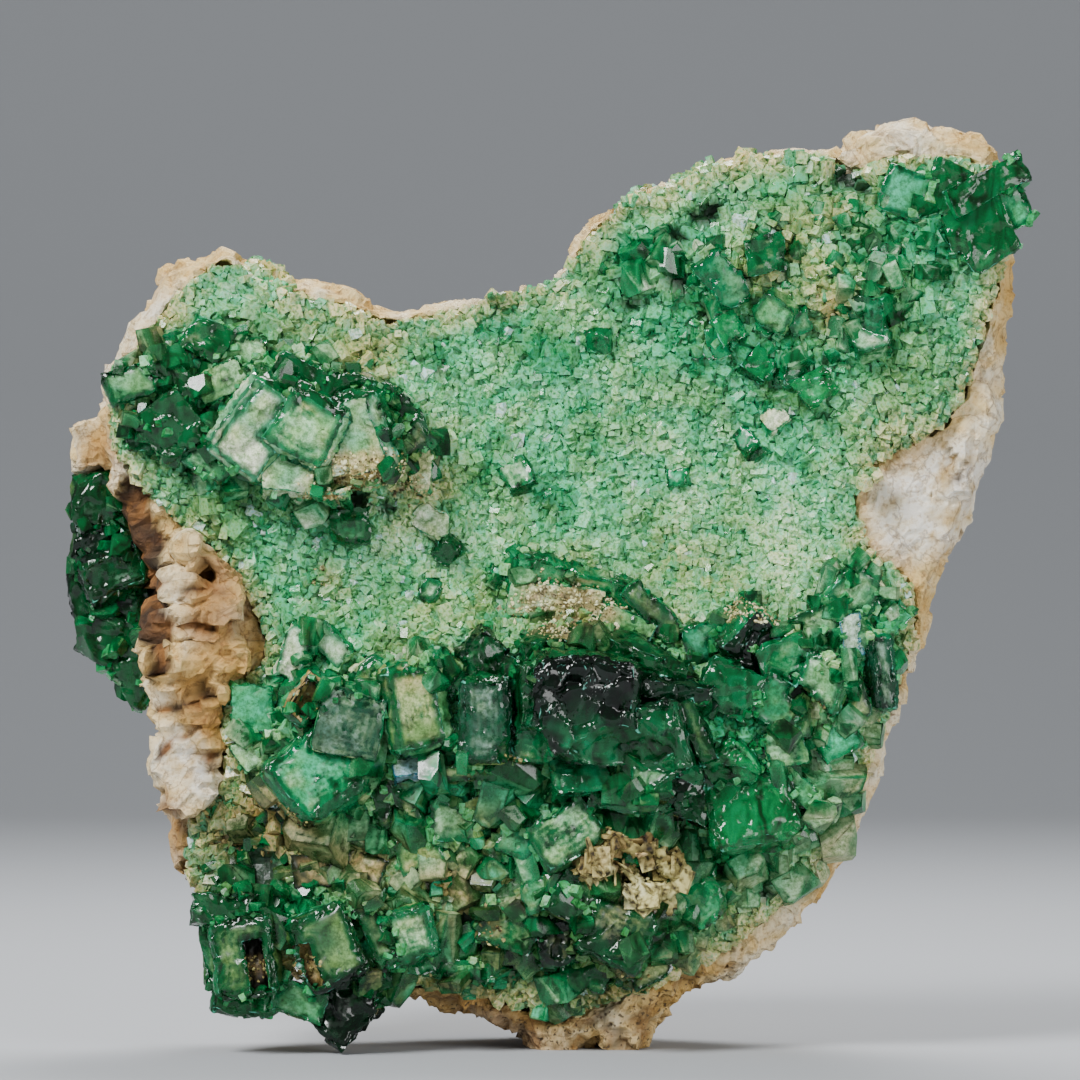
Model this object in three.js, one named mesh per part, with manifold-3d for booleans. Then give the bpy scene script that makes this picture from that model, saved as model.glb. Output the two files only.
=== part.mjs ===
// A standing plate of green fluorite crystals on pale feldspar rock, about 150 mm wide.
// Units are millimetres. +Z is up, the crystal face looks along -Y, and the plate stands on its lower edge,
// at z = 0. The rock is a broken slab. A crust of intergrown small crystals lies in its face, and groups of
// large crystals, most of them cubes with bevelled edges, stand on that crust.

import * as THREE from "three";
import { ConvexGeometry } from "three/addons/geometries/ConvexGeometry.js";
import { mergeVertices } from "three/addons/utils/BufferGeometryUtils.js";
import Module from "manifold-3d";

const wasm = await Module();
wasm.setup();

// ---------- driving dimensions ----------

const GAP = 0.3; // air between two neighbouring solids
const HEART = [0, 72]; // x and z of the point that the outlines are drawn around
const FACE_STANDS = 5; // how far the crust's face stands in front of the y = 0 plane, before its swells
const ROCK_BEHIND_FACE = 1.6; // the bare rock lies this far behind the face of the crust
const CRUST_THICK = 5.6;
const FLANK_ROOT = 3.6; // how deep the flank crystals are rooted in the rock
const FLANK_X = -66; // x of the slab's left flank, where crystals grow behind its face
const BACK_STANDS = 16; // how far the broken back lies behind the y = 0 plane, before its swells
const FAR = 60; // beyond everything, in front or behind
const HUGE = 400; // the side of a box that reaches past the whole specimen every way
const SLIVER = 0.1; // no surface moves by more than this when slivers left by cutting are dropped
const WELD = 1e-4; // corners nearer than this are one corner

// ---------- outlines, as x and z ----------

// The rock's silhouette, clockwise from the left peak.
const ROCK_RIM = [
  [-51.5, 125.4], [-47.5, 123], [-41.5, 119.8], [-31.5, 118.6], [-28.4, 116.8],
  [-24, 115.2], [-17.7, 115.8], [-7, 117.6], [1.4, 119.8], [5.2, 126.6], [8, 129.8],
  [13, 132.6], [22, 136.6], [28.4, 138.6], [39.2, 140],
  [45.4, 140.2], [49, 143.2], [55.3, 145], [63, 143.9], [70.2, 140.8],
  [72.4, 136], [73, 130], [72.6, 122], [72, 108], [70.4, 103.6],
  [70.9, 98.6], [69.2, 92.6], [66, 84], [61.8, 75.4], [56.2, 56],
  [52.6, 48.6], [50.4, 39], [44.6, 26], [40, 20.6],
  [29.4, 11], [24, 9], [20, 7.6], [16.8, 2], [14.6, -3], [9.8, -3],
  [7.4, 2.6], [4.8, -3], [-0.8, -3], [-3.8, 0.6], [-7, 4], [-14.5, 6.2],
  [-24, 8], [-44, 13], [-51.5, 20], [-57.2, 28], [-58.8, 33],
  [-59, 44], [-60, 51], [-59.8, 65], [-61, 72],
  [-66, 86], [-68.6, 92], [-69.4, 98], [-69.4, 103], [-67.8, 108],
  [-61.6, 118], [-56.5, 122.2],
];

// The edge of the crystal crust on the rock's face. It leaves bare rock at the left ledges and the right
// shoulder.
const CRUST_RIM = [
  [-50, 122.6], [-46.5, 121.4], [-42, 118.2], [-31, 115.6], [-25, 113], [-18, 114],
  [-5, 117.6], [2.6, 120], [7, 127], [11.4, 130.4], [20, 135.2],
  [27, 137.6], [39, 139.6], [44.4, 138.4], [47.4, 136.6], [53, 138.4],
  [66, 138.2], [70.4, 135], [71.6, 129], [71, 122], [68.6, 114.6], [64.4, 101.4],
  [61.6, 97], [56.4, 94.2], [50.2, 90.8], [47.8, 86], [48.6, 80], [52, 76], [56, 73.4],
  [57.4, 67], [53.6, 54.6], [50.4, 48], [46.4, 34.6], [42.6, 28.4],
  [30, 17.6], [20.6, 12.4], [12.4, 9], [7, 6.4], [2, 5.2], [-3, 6.4],
  [-10, 8.6], [-41, 14], [-50, 19], [-54, 24.4], [-56, 30],
  [-55.4, 35], [-52.6, 39.4], [-49.4, 43], [-49.4, 47], [-50.6, 52], [-49, 56.6], [-44.6, 59.4],
  [-43, 63], [-47, 72.6], [-50.4, 76.4], [-54.6, 79.6], [-63, 87.6],
  [-66.4, 92.6], [-67.8, 98], [-67.2, 103.4], [-59.8, 114], [-54.8, 119.6],
];

// ---------- relief ----------

// Swells of the face: x, z, reach across, reach up, height forward.
const FACE_SWELLS = [
  [-36, 96, 17, 12, 9],
  [-60, 103, 11, 12, 4],
  [-34, 50, 15, 12, 9],
  [-6, 52, 16, 11, 11],
  [18, 50, 16, 13, 11],
  [42, 58, 13, 14, 8],
  [5, 26, 28, 13, 7],
  [-40, 19, 15, 13, 8],
  [50, 124, 26, 22, 4],
  [22, 90, 26, 15, -2.5],
  [-50, 119, 14, 9, 2],
];

// Swells of the broken back: x, z, reach across, reach up, height backward.
const BACK_SWELLS = [
  [2, 14, 34, 24, 9],
  [-30, 62, 22, 20, 4],
  [30, 70, 20, 26, 5],
  [58, 128, 22, 18, -5],
  [-56, 112, 16, 18, -4],
  [-4, 108, 20, 14, -6],
];

const swelling = (x, z, swells) =>
  swells.reduce(
    (sum, [cx, cz, across, up, height]) =>
      sum + height * Math.exp(-(((x - cx) / across) ** 2) - ((z - cz) / up) ** 2),
    0,
  );

const CELL = 10; // grid step of the plate's curved face
const COLUMNS = 17;
const ROWS = 16;

// How far the crust's face stands in front of y = 0: its swells, sampled on the grid, with straight runs
// between.
function faceForward(x, z) {
  const west = CELL * (Math.floor(x / CELL + 0.5) - 0.5);
  const low = CELL * Math.floor(z / CELL);
  const across = (x - west) / CELL;
  const up = (z - low) / CELL;
  const node = (i, j) => FACE_STANDS + swelling(west + i * CELL, low + j * CELL, FACE_SWELLS);
  const bottom = (1 - across) * node(0, 0) + across * node(1, 0);
  const top = (1 - across) * node(0, 1) + across * node(1, 1);
  return (1 - up) * bottom + up * top;
}

const backDepth = (x, z) => BACK_STANDS + swelling(x, z, BACK_SWELLS);

// A repeatable number from 0 to 1.
function randomFrom(seed) {
  let state = seed;
  return () => {
    state = (state + 0x6d2b79f5) | 0;
    let t = Math.imul(state ^ (state >>> 15), 1 | state);
    t = (t + Math.imul(t ^ (t >>> 7), 61 | t)) ^ t;
    return ((t ^ (t >>> 14)) >>> 0) / 4294967296;
  };
}

const degrees = THREE.MathUtils.degToRad;

// ---------- solids ----------

// Turns a closed three.js geometry into a solid that can be joined and cut.
function solid(geometry) {
  const bare = geometry.index ? geometry.toNonIndexed() : geometry.clone();
  bare.deleteAttribute("normal");
  bare.deleteAttribute("uv");
  const merged = mergeVertices(bare, WELD);
  return new wasm.Manifold(
    new wasm.Mesh({
      numProp: 3,
      vertProperties: merged.attributes.position.array,
      triVerts: new Uint32Array(merged.index.array),
    }),
  );
}

const join = (solids) => solids.reduce((all, one) => all.add(one));
const cut = (body, ...tools) => tools.reduce((left, tool) => left.subtract(tool), body);

// Cutting can leave loose chips, which a real specimen would have lost: only the largest body stays.
const largest = (body) =>
  body.decompose().reduce((best, piece) => (piece.volume() > best.volume() ? piece : best));

// Drops slivers and facets that matter less than SLIVER.
const tidy = (body) => largest(largest(body).simplify(SLIVER));

// A closed body drawn around the heart. Each ring is { share, y }: the share of the way from the heart to
// the outline, and a function of x and z that gives y there. The first ring is at the front.
function aroundHeart(outline, rings) {
  const [hx, hz] = HEART;
  const at = (ring, [rx, rz]) => {
    const x = hx + ring.share * (rx - hx);
    const z = hz + ring.share * (rz - hz);
    return [x, ring.y(x, z), z];
  };
  const positions = [];
  const triangles = [];
  const count = outline.length;
  positions.push(...at(rings[0], outline[0]));
  for (const ring of rings.slice(1, -1)) {
    outline.forEach((point) => positions.push(...at(ring, point)));
  }
  positions.push(...at(rings.at(-1), outline[0]));
  const last = positions.length / 3 - 1;
  for (let i = 0; i < count; i++) {
    const next = (i + 1) % count;
    triangles.push(0, 1 + next, 1 + i);
    for (let ring = 0; ring < rings.length - 3; ring++) {
      const near = 1 + ring * count;
      const far = near + count;
      triangles.push(near + i, far + next, far + i, near + i, near + next, far + next);
    }
    const rim = last - count;
    triangles.push(rim + i, rim + next, last);
  }
  const geometry = new THREE.BufferGeometry();
  geometry.setAttribute("position", new THREE.Float32BufferAttribute(positions, 3));
  geometry.setIndex(triangles);
  return solid(geometry);
}

// A cube-like crystal, as fluorite grows. half holds half its width, depth and height, and bevel is the
// width taken off its edges. spin turns it in the plane of the plate, yaw about the upright and pitch
// forward. room gives the plain block that leaves that much air all round the crystal.
function crystal({ at, half, spin = 0, yaw = 0, pitch = 0, bevel = 0 }, room = 0) {
  const [a, b, c] = half.map((side) => side + room);
  const edge = room ? 0 : bevel;
  const points = [];
  for (const sx of [-1, 1]) {
    for (const sy of [-1, 1]) {
      for (const sz of [-1, 1]) {
        const corner = new THREE.Vector3(sx * a, sy * b, sz * c);
        if (!edge) points.push(corner);
        else {
          points.push(corner.clone().sub(new THREE.Vector3(0, sy * edge, sz * edge)));
          points.push(corner.clone().sub(new THREE.Vector3(sx * edge, 0, sz * edge)));
          points.push(corner.clone().sub(new THREE.Vector3(sx * edge, sy * edge, 0)));
        }
      }
    }
  }
  const turn = new THREE.Euler(degrees(pitch), degrees(-spin), degrees(yaw), "YXZ");
  const place = new THREE.Matrix4().makeRotationFromEuler(turn).setPosition(...at);
  return solid(new ConvexGeometry(points.map((point) => point.applyMatrix4(place))));
}

const LEDGE_CHIPPING = 0.5; // how much the half sizes of a ledge vary from corner to corner

// A chipped block of rock: a box whose corners are pushed about.
function chip({ at, half, spin = 0 }, random) {
  const push = () => 1 + LEDGE_CHIPPING * (random() - 0.5);
  const points = [];
  for (const sx of [-1, 1]) {
    for (const sy of [-1, 1]) {
      for (const sz of [-1, 1]) {
        const corner = [sx * half[0] * push(), sy * half[1] * push(), sz * half[2] * push()];
        points.push(new THREE.Vector3(...corner));
      }
    }
  }
  const place = new THREE.Matrix4().makeRotationY(degrees(-spin)).setPosition(...at);
  return solid(new ConvexGeometry(points.map((point) => point.applyMatrix4(place))));
}

// ---------- the rock slab ----------

const BACK_CELL = 14; // size of the facets of the broken back
const BACK_CHIPPING = 5; // how far they stand in and out
const BACK_WANDER = 0.55; // the share of a facet by which its corners lie off the grid

// The rings of the slab's rim, from front to back. share is that of the way from the heart to the outline,
// behind is how far a ring lies behind the rock's face, deep the share of the way to the back, and rough
// how much it goes in and out.
const FRONT_EDGE = { share: 0.965, behind: -0.6, rough: 0.8 };
const WIDEST = { share: 1, behind: 5, rough: 1.8 };
const BACK_EDGE = { share: 0.985, deep: 0.62, rough: 3 };
const PAST_BACK = { share: 0.9, deep: 1.05, rough: 3 };
const FRONT_OPENING = 0.9;
const BACK_OPENING = 0.8;

const chipping = randomFrom(7);
const jolt = (size) => size * (chipping() - 0.5);

// Plates of the left ledge and two knobs behind the left edge: x, y, z, half sizes, spin.
const LEDGES = [
  { at: [-51.6, -1.5, 75.8], half: [6.4, 8.5, 1.6], spin: -34 },
  { at: [-53.4, -1, 71.2], half: [6.2, 9, 2.1], spin: -14 },
  { at: [-54.6, -1, 66], half: [7.4, 9.4, 2.7], spin: 4 },
  { at: [-53.8, -1.4, 60.2], half: [7.2, 9.4, 2.7], spin: 14 },
  { at: [-55.2, -1, 54], half: [6, 8.6, 2.6], spin: 2 },
  { at: [-55.4, -1.6, 47.4], half: [5.2, 8, 2.9], spin: -5 },
  { at: [-55.8, -1, 41], half: [3.8, 8.4, 3.2], spin: 3 },
  { at: [-57.8, 5, 119.4], half: [2.6, 3.6, 2.8], spin: 20 },
  { at: [-70.4, 7, 94.4], half: [3.8, 4.4, 3.8], spin: 10 },
];

function rockBody() {
  const face = (x, z) => crustFace(x, z) + ROCK_BEHIND_FACE;
  const behindFace = ({ share, behind, rough }) => ({
    share,
    y: (x, z) => face(x, z) + behind + jolt(rough),
  });
  const nearBack = ({ share, deep, rough }) => ({
    share,
    y: (x, z) => deep * backDepth(x, z) + jolt(rough),
  });
  const body = aroundHeart(ROCK_RIM, [
    { share: 0, y: () => -FAR },
    { share: FRONT_OPENING, y: () => -FAR },
    behindFace(FRONT_EDGE),
    behindFace(WIDEST),
    nearBack(BACK_EDGE),
    nearBack(PAST_BACK),
    { share: BACK_OPENING, y: () => FAR },
    { share: 0, y: () => FAR },
  ]);
  const ledges = LEDGES.map((ledge) => chip(ledge, chipping));
  const slab = body.intersect(deeperThan(ROCK_BEHIND_FACE)).subtract(behindBack());
  return join([slab, ...ledges]);
}

// ---------- the crust of small crystals ----------

const crustFace = (x, z) => -faceForward(x, z);

// Everything that lies deeper than a depth behind the curved face of the crust.
function deeperThan(depth) {
  const block = new THREE.BoxGeometry(COLUMNS * CELL, 2 * FAR, ROWS * CELL, COLUMNS, 1, ROWS);
  block.translate(0, 0, 0.5 * ROWS * CELL - CELL);
  const places = block.attributes.position;
  for (let i = 0; i < places.count; i++) {
    if (places.getY(i) < 0) places.setY(i, crustFace(places.getX(i), places.getZ(i)) + depth);
  }
  return solid(block);
}

// Everything behind the broken back, whose chunky facets meet at jolted grid points.
function behindBack() {
  const random = randomFrom(11);
  const columns = Math.round((COLUMNS * CELL) / BACK_CELL);
  const rows = Math.round((ROWS * CELL) / BACK_CELL);
  const block = new THREE.BoxGeometry(columns * BACK_CELL, 2 * FAR, rows * BACK_CELL, columns, 1, rows);
  block.translate(0, 0, 0.5 * rows * BACK_CELL - BACK_CELL);
  const merged = mergeVertices(block.deleteAttribute("normal").deleteAttribute("uv"), WELD);
  const places = merged.attributes.position;
  for (let i = 0; i < places.count; i++) {
    if (places.getY(i) > 0) continue;
    const inside = Math.abs(places.getX(i)) < 0.5 * (columns - 1) * BACK_CELL;
    const wander = inside ? BACK_CELL * BACK_WANDER : 0;
    places.setX(i, places.getX(i) + wander * (random() - 0.5));
    places.setZ(i, places.getZ(i) + wander * (random() - 0.5));
    places.setY(i, backDepth(places.getX(i), places.getZ(i)) + BACK_CHIPPING * (random() - 0.5));
  }
  return solid(merged);
}

// The crust's outline as a prism through the plate, widened by room.
function crustPrism(room = 0) {
  const [hx, hz] = HEART;
  const corners = CRUST_RIM.map(([x, z]) => {
    const share = 1 + room / Math.hypot(x - hx, z - hz);
    return new THREE.Vector2(hx + share * (x - hx), hz + share * (z - hz));
  });
  const through = { depth: 2 * FAR, bevelEnabled: false };
  const prism = new THREE.ExtrudeGeometry(new THREE.Shape(corners), through);
  return solid(prism.translate(0, 0, -FAR).rotateX(Math.PI / 2));
}

const crustBody = () => crustPrism().intersect(deeperThan(0)).subtract(deeperThan(CRUST_THICK));
const crustBed = () => crustPrism(GAP).subtract(deeperThan(CRUST_THICK + GAP));

// Gives a crystal that has a place on the plate and a lift in front of the crust's face its x, y and z.
const onFace = ({ x, z, lift, ...rest }) => ({ at: [x, -faceForward(x, z) - lift, z], ...rest });

// ---------- the groups of large crystals ----------
// x and z place a crystal on the plate, lift is how far its middle stands in front of the crust's face,
// half is half its width, depth and height.

const RIDGE = [
  // left end: a pale diamond, a hollow-faced crystal and their dark neighbours
  { x: -35.5, z: 42.5, lift: 0.5, half: [6.6, 6, 6.6], spin: 38, pitch: -14, yaw: 8, bevel: 1.3 },
  { x: -44.6, z: 53.6, lift: -0.6, half: [3.4, 3.4, 3.6], spin: 4, yaw: -12 },
  { x: -45, z: 47, lift: -1, half: [3, 3, 2.6], spin: 30 },
  { x: -36.6, z: 55, lift: 1.6, half: [2.7, 3.6, 4.4], spin: -38, yaw: -6, bevel: 0.8 },
  { x: -38.6, z: 62, lift: 0.4, half: [2.4, 3.2, 4.4], spin: -18, yaw: -10 },
  { x: -33.2, z: 63.2, lift: 0.6, half: [3.6, 3.2, 1.9], spin: -46 },
  { x: -30.2, z: 51.6, lift: 1, half: [4.9, 4.6, 4.8], spin: -10, pitch: 6 },
  { x: -26.6, z: 58, lift: 1.2, half: [3.4, 4, 3.2], spin: 34, bevel: 0.9 },
  // the coated six-sided crystal and the framed window beside it
  { x: -20.4, z: 54, lift: 1.4, half: [5.2, 5.4, 7.4], spin: 9, yaw: 6, pitch: 3, bevel: 1.7 },
  { x: -18.6, z: 57.6, lift: 0.2, half: [5, 4.6, 4.6], spin: 33, yaw: 8, bevel: 1.4 },
  { x: -9, z: 51.8, lift: 1.2, half: [4.1, 4.6, 7], spin: 1, yaw: -5, bevel: 0.9 },
  { x: -9.6, z: 61.4, lift: 0.2, half: [3.4, 3.2, 3.4], spin: 45, pitch: 12 },
  { x: -20.4, z: 43.4, lift: 0.8, half: [3.2, 3.2, 1.7], spin: 9, pitch: -28 },
  { x: -12, z: 43.6, lift: 0, half: [5.2, 3.6, 1.3], spin: -2 },
  { x: -25.6, z: 40, lift: -0.6, half: [1.5, 3, 5.2], spin: 8 },
  { x: -22.2, z: 39.4, lift: -0.4, half: [1.4, 3, 5], spin: 24 },
  // the big dark crystal under its slanting roof
  { x: 5.6, z: 54, lift: 0.6, half: [8.2, 7.4, 8.4], spin: -4, yaw: 4, pitch: 4, bevel: 1.2 },
  { x: -3, z: 52.6, lift: 1.4, half: [2.2, 4.6, 7.6], spin: 0, yaw: 18 },
  { x: 3, z: 63.6, lift: 0.8, half: [7, 5.2, 2.2], spin: 8, pitch: 16 },
  { x: 14, z: 62, lift: 0.8, half: [8.4, 5, 2.2], spin: -20, pitch: 16 },
  { x: 17, z: 57.6, lift: 2.2, half: [8.6, 4.4, 1.4], spin: -9, pitch: 8 },
  { x: 18, z: 47.4, lift: 1, half: [4.8, 5.6, 8], spin: 8, yaw: -12, bevel: 0.8 },
  { x: 23.2, z: 50.4, lift: 0.6, half: [1.5, 4.4, 5.2], spin: 22 },
  { x: 12.6, z: 39.6, lift: 0, half: [6.4, 4, 2.2], spin: -7 },
  { x: 4.8, z: 43, lift: 0.4, half: [4.6, 4.2, 3.4], spin: 12, pitch: -16 },
  // the long blade above and behind the roof
  { x: 6.6, z: 73.6, lift: 0, half: [12.4, 3.2, 1.9], spin: -17, pitch: 20 },
  { x: 16.6, z: 68.6, lift: 0.6, half: [5, 3.4, 1.9], spin: -48 },
  { x: -6.4, z: 74.6, lift: -0.8, half: [2.8, 2.8, 1.6], spin: 3 },
  { x: 1.6, z: 69.4, lift: -0.6, half: [7.6, 3.4, 2.8], spin: -8 },
  { x: 12.6, z: 66.4, lift: -0.2, half: [4.4, 3.2, 1.9], spin: -26 },
  // the right half of the ridge
  { x: 24.6, z: 63.6, lift: -0.6, half: [3, 3.4, 3.2], spin: 20 },
  { x: 30.8, z: 64.4, lift: 1.2, half: [4.6, 4.8, 4.6], spin: 45, pitch: 18, bevel: 0.8 },
  { x: 28.2, z: 56.6, lift: 0.2, half: [4.6, 4.4, 3.8], spin: -24 },
  { x: 36.4, z: 61.4, lift: 0.2, half: [4.2, 4, 3.4], spin: 22, pitch: 10 },
  { x: 35.2, z: 54.4, lift: -0.2, half: [4, 4, 3.6], spin: -32, yaw: 10 },
  { x: 42.4, z: 57.4, lift: 0.4, half: [4, 4, 4.8], spin: -16, yaw: -8, bevel: 0.8 },
  { x: 41.6, z: 66.6, lift: 0, half: [3.8, 3.4, 2.6], spin: 24 },
  { x: 47.2, z: 70.8, lift: 0, half: [4.8, 3.8, 3.9], spin: 41, bevel: 0.9 },
  { x: 52.4, z: 68.6, lift: -0.6, half: [3.6, 3.2, 2.6], spin: -42 },
  { x: 47, z: 64.6, lift: 0.8, half: [1.6, 3.4, 3.6], spin: 10 },
  { x: 51.2, z: 59, lift: 0.4, half: [2.4, 3.6, 6], spin: 4, yaw: 16, bevel: 0.8 },
  { x: 46.8, z: 56.4, lift: -0.2, half: [2.2, 3.6, 4.6], spin: 16 },
  { x: 44.4, z: 49.6, lift: -0.6, half: [3.6, 3.4, 3.6], spin: 28 },
  { x: 36.8, z: 47.4, lift: 0, half: [3.2, 3.6, 2.8], spin: 12 },
  { x: 37.6, z: 42.6, lift: 1.2, half: [8.2, 3.6, 1.5], spin: -47 },
  { x: 31.4, z: 36.6, lift: 1.4, half: [7.2, 6, 5.4], spin: 14, yaw: 8, pitch: -14, bevel: 1 },
  { x: 28.2, z: 44.2, lift: 0.6, half: [4, 4.6, 4], spin: 38, bevel: 0.8 },
  { x: 22.6, z: 39.8, lift: 0, half: [3, 3.8, 3.8], spin: -14 },
  // paler crystals under the middle
  { x: 3.2, z: 33.6, lift: 0.4, half: [5.2, 4.6, 4], spin: 33, pitch: -8 },
  { x: -4.8, z: 33.4, lift: -0.6, half: [3.2, 3.6, 3.2], spin: -14 },
  { x: -9.4, z: 37.6, lift: -0.8, half: [3, 3.2, 2.6], spin: 30 },
  { x: -14.4, z: 35.6, lift: -0.6, half: [3.8, 3.4, 3], spin: -8 },
  { x: -19.8, z: 31.4, lift: -1, half: [3.4, 3.2, 2.8], spin: 24 },
];

const LOWER_MIDDLE = [
  { x: 10.6, z: 18.6, lift: 0.8, half: [5.6, 5.4, 5.6], spin: -24, pitch: -10, bevel: 0.8 },
  { x: 4.8, z: 24.4, lift: 0, half: [3.6, 4, 4.2], spin: -30 },
  { x: -1, z: 24.8, lift: -0.4, half: [3, 3.6, 2.6], spin: 18 },
  { x: 16, z: 13.6, lift: -0.4, half: [3.6, 4, 2.6], spin: 28 },
  { x: 1.6, z: 17, lift: -0.6, half: [3.6, 3.6, 3.4], spin: 12, yaw: 10 },
  { x: 5.4, z: 11.6, lift: -0.8, half: [4, 3.4, 2.2], spin: -12 },
  { x: 24.4, z: 23.4, lift: 0, half: [2.9, 3.6, 3.5], spin: 30 },
  { x: 19.4, z: 19.2, lift: -0.6, half: [3, 3.4, 2.8], spin: -12 },
  { x: -5.6, z: 19.6, lift: -0.6, half: [4.4, 3.4, 3.2], spin: -20 },
];

const LOWER_LEFT = [
  { x: -49.6, z: 22.4, lift: 0.2, half: [5.4, 4.6, 2.4], spin: -2, pitch: -10 },
  { x: -51.2, z: 15.6, lift: -2.6, half: [2.2, 4, 5.6], spin: 4 },
  { x: -45.8, z: 15.2, lift: 0.4, half: [5.2, 5.6, 6.2], spin: 6, yaw: -10, pitch: -6, bevel: 0.9 },
  { x: -33.8, z: 16.6, lift: 0.8, half: [5, 5.6, 6.4], spin: 22, yaw: 6, pitch: -6, bevel: 0.9 },
  { x: -26.8, z: 21, lift: 0, half: [1.7, 4.2, 6], spin: 24 },
  { x: -21.4, z: 18.6, lift: 0, half: [5, 4.6, 4.6], spin: 16, bevel: 0.8 },
  { x: -46.4, z: 8.8, lift: -1.6, half: [5.6, 5.4, 2.8], spin: -8, bevel: 0.8 },
  { x: -38.2, z: 8.4, lift: -1.2, half: [4.4, 4.6, 2.8], spin: -18 },
  { x: -31.8, z: 7.2, lift: -1.6, half: [5.2, 5.2, 5.2], spin: 45 },
  { x: -27.2, z: 11.2, lift: -0.8, half: [3.6, 4, 3], spin: 10 },
  { x: -16.4, z: 12.6, lift: -0.4, half: [8.6, 3.6, 1.5], spin: -6, pitch: -12 },
];

const UPPER_LEFT = [
  // the pale block with its slanting white side
  { x: -44.8, z: 97.6, lift: 0.6, half: [5.6, 6.4, 7.6], spin: -38, yaw: 12, pitch: 6, bevel: 1.2 },
  { x: -36.6, z: 97.4, lift: 0.4, half: [6, 6, 5.6], spin: -28, pitch: 8, bevel: 1 },
  { x: -29.6, z: 95, lift: 0.2, half: [7, 6.4, 7.4], spin: 14, yaw: -14, bevel: 1.6 },
  { x: -37, z: 88.8, lift: 0.4, half: [6.6, 5, 3], spin: -4, pitch: -10 },
  // dark ridge over and right of it
  { x: -36.8, z: 104.4, lift: -0.4, half: [5.6, 4, 2.2], spin: -28 },
  { x: -28.6, z: 102.6, lift: -0.4, half: [5.2, 4.4, 2.4], spin: -14, pitch: 8 },
  { x: -21.6, z: 97.2, lift: -0.4, half: [2.6, 4.2, 4.8], spin: 32 },
  { x: -19.4, z: 90.6, lift: -0.4, half: [1.9, 3.8, 4], spin: -4 },
  // the dark crystals at the left
  { x: -57.4, z: 97.2, lift: 0, half: [4.4, 4.6, 4.6], spin: 40, yaw: -8 },
  { x: -63.8, z: 103.8, lift: -0.4, half: [4.6, 4, 2.6], spin: 22 },
  { x: -57.2, z: 104.8, lift: 0, half: [4.6, 3.8, 2], spin: -34 },
  { x: -61.8, z: 96, lift: -0.6, half: [3.2, 3.6, 2.8], spin: -10 },
  { x: -52, z: 91.4, lift: -0.4, half: [4, 4, 2.4], spin: -38 },
  { x: -50.4, z: 104.2, lift: -0.6, half: [4, 3.6, 2.4], spin: 26 },
  { x: -52.4, z: 110.6, lift: -0.2, half: [3.4, 3.6, 2.8], spin: -30 },
  { x: -57.8, z: 109.4, lift: -0.8, half: [3, 3.2, 2.4], spin: 16 },
  { x: -46.6, z: 109, lift: -0.8, half: [3.2, 3.2, 2.2], spin: -16 },
];

const TOP_RIGHT = [
  { x: 67.6, z: 133.8, lift: 0.2, half: [6.8, 3.8, 2.4], spin: 27, yaw: 10 },
  { x: 72.6, z: 131.4, lift: -2.4, half: [2, 4, 3.6], spin: 24 },
  { x: 66.4, z: 128.4, lift: -0.8, half: [5, 3.4, 3], spin: 24 },
  { x: 68.6, z: 124.6, lift: -0.6, half: [4.4, 3.4, 2.8], spin: 34 },
  { x: 61.4, z: 134.2, lift: -0.4, half: [3.2, 3, 3.6], spin: -28 },
  { x: 55.4, z: 133.2, lift: -0.8, half: [3.6, 3, 3.6], spin: -20 },
];

// Grown on the slab's left flank, behind its face, so their y is given instead of a lift.
const LEFT_FLANK = [
  { at: [-70.4, 10, 86], half: [4.2, 6.4, 4.2], spin: 6 },
  { at: [-71.2, 11, 79.2], half: [3.6, 6.4, 4], spin: -8, yaw: 6 },
  { at: [-67.4, 8, 74.8], half: [5.6, 6, 4], spin: 24, bevel: 0.8 },
  { at: [-71.6, 12, 71.4], half: [3, 6, 4.4], spin: 8 },
  { at: [-69.2, 9.4, 63.8], half: [3.8, 5.4, 4.2], spin: -28 },
  { at: [-64.6, 8.6, 58.2], half: [2.6, 5, 5.2], spin: 30, yaw: -8 },
  { at: [-64.4, 12, 66.6], half: [4.4, 6, 5], spin: 12 },
  { at: [-65.6, 15, 80.6], half: [4.4, 6, 5], spin: -20 },
];

// Single crystals that stand out of the crust, fused with it.
const ON_CRUST = [
  { x: -6, z: 114, lift: 0, half: [4, 3.4, 3.2], spin: -14, pitch: 14, bevel: 1.6 },
  { x: -2.2, z: 109, lift: -0.6, half: [1, 2, 3], spin: 8 },
  { x: -18.2, z: 82.4, lift: 0.2, half: [2.5, 2.2, 2.3], spin: -34 },
  { x: -30.6, z: 81.6, lift: 0.4, half: [3.2, 3, 2.8], spin: 3, yaw: 8 },
  { x: -37, z: 83, lift: -0.6, half: [2.6, 2.2, 1.5], spin: 10 },
  { x: -34.8, z: 72.4, lift: 0, half: [2.9, 2.8, 2.9], spin: 42 },
  { x: -46, z: 117.2, lift: -0.4, half: [5.4, 2.6, 1.6], spin: -31 },
  { x: 33.8, z: 123.6, lift: -0.4, half: [3.2, 2.6, 3], spin: 12 },
  { x: 41.6, z: 103.2, lift: -0.4, half: [3, 2.6, 2.6], spin: 36 },
  { x: 26.8, z: 109.6, lift: -0.6, half: [1.8, 2.2, 2.6], spin: 14 },
  { x: 46.8, z: 134.4, lift: -0.8, half: [3.2, 2.4, 2.2], spin: -26 },
  { x: 14.4, z: 130.4, lift: -1, half: [3, 2.4, 2.2], spin: 10 },
  { x: -52, z: 32, lift: -0.6, half: [3.4, 3, 3], spin: -24 },
  { x: -44.4, z: 30, lift: -1, half: [3.4, 3, 2.6], spin: 32 },
  { x: -36.4, z: 28.4, lift: -0.8, half: [3.2, 3, 2.6], spin: 8 },
  { x: -28, z: 28.6, lift: -0.8, half: [3.2, 3, 2.8], spin: -22 },
];

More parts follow.
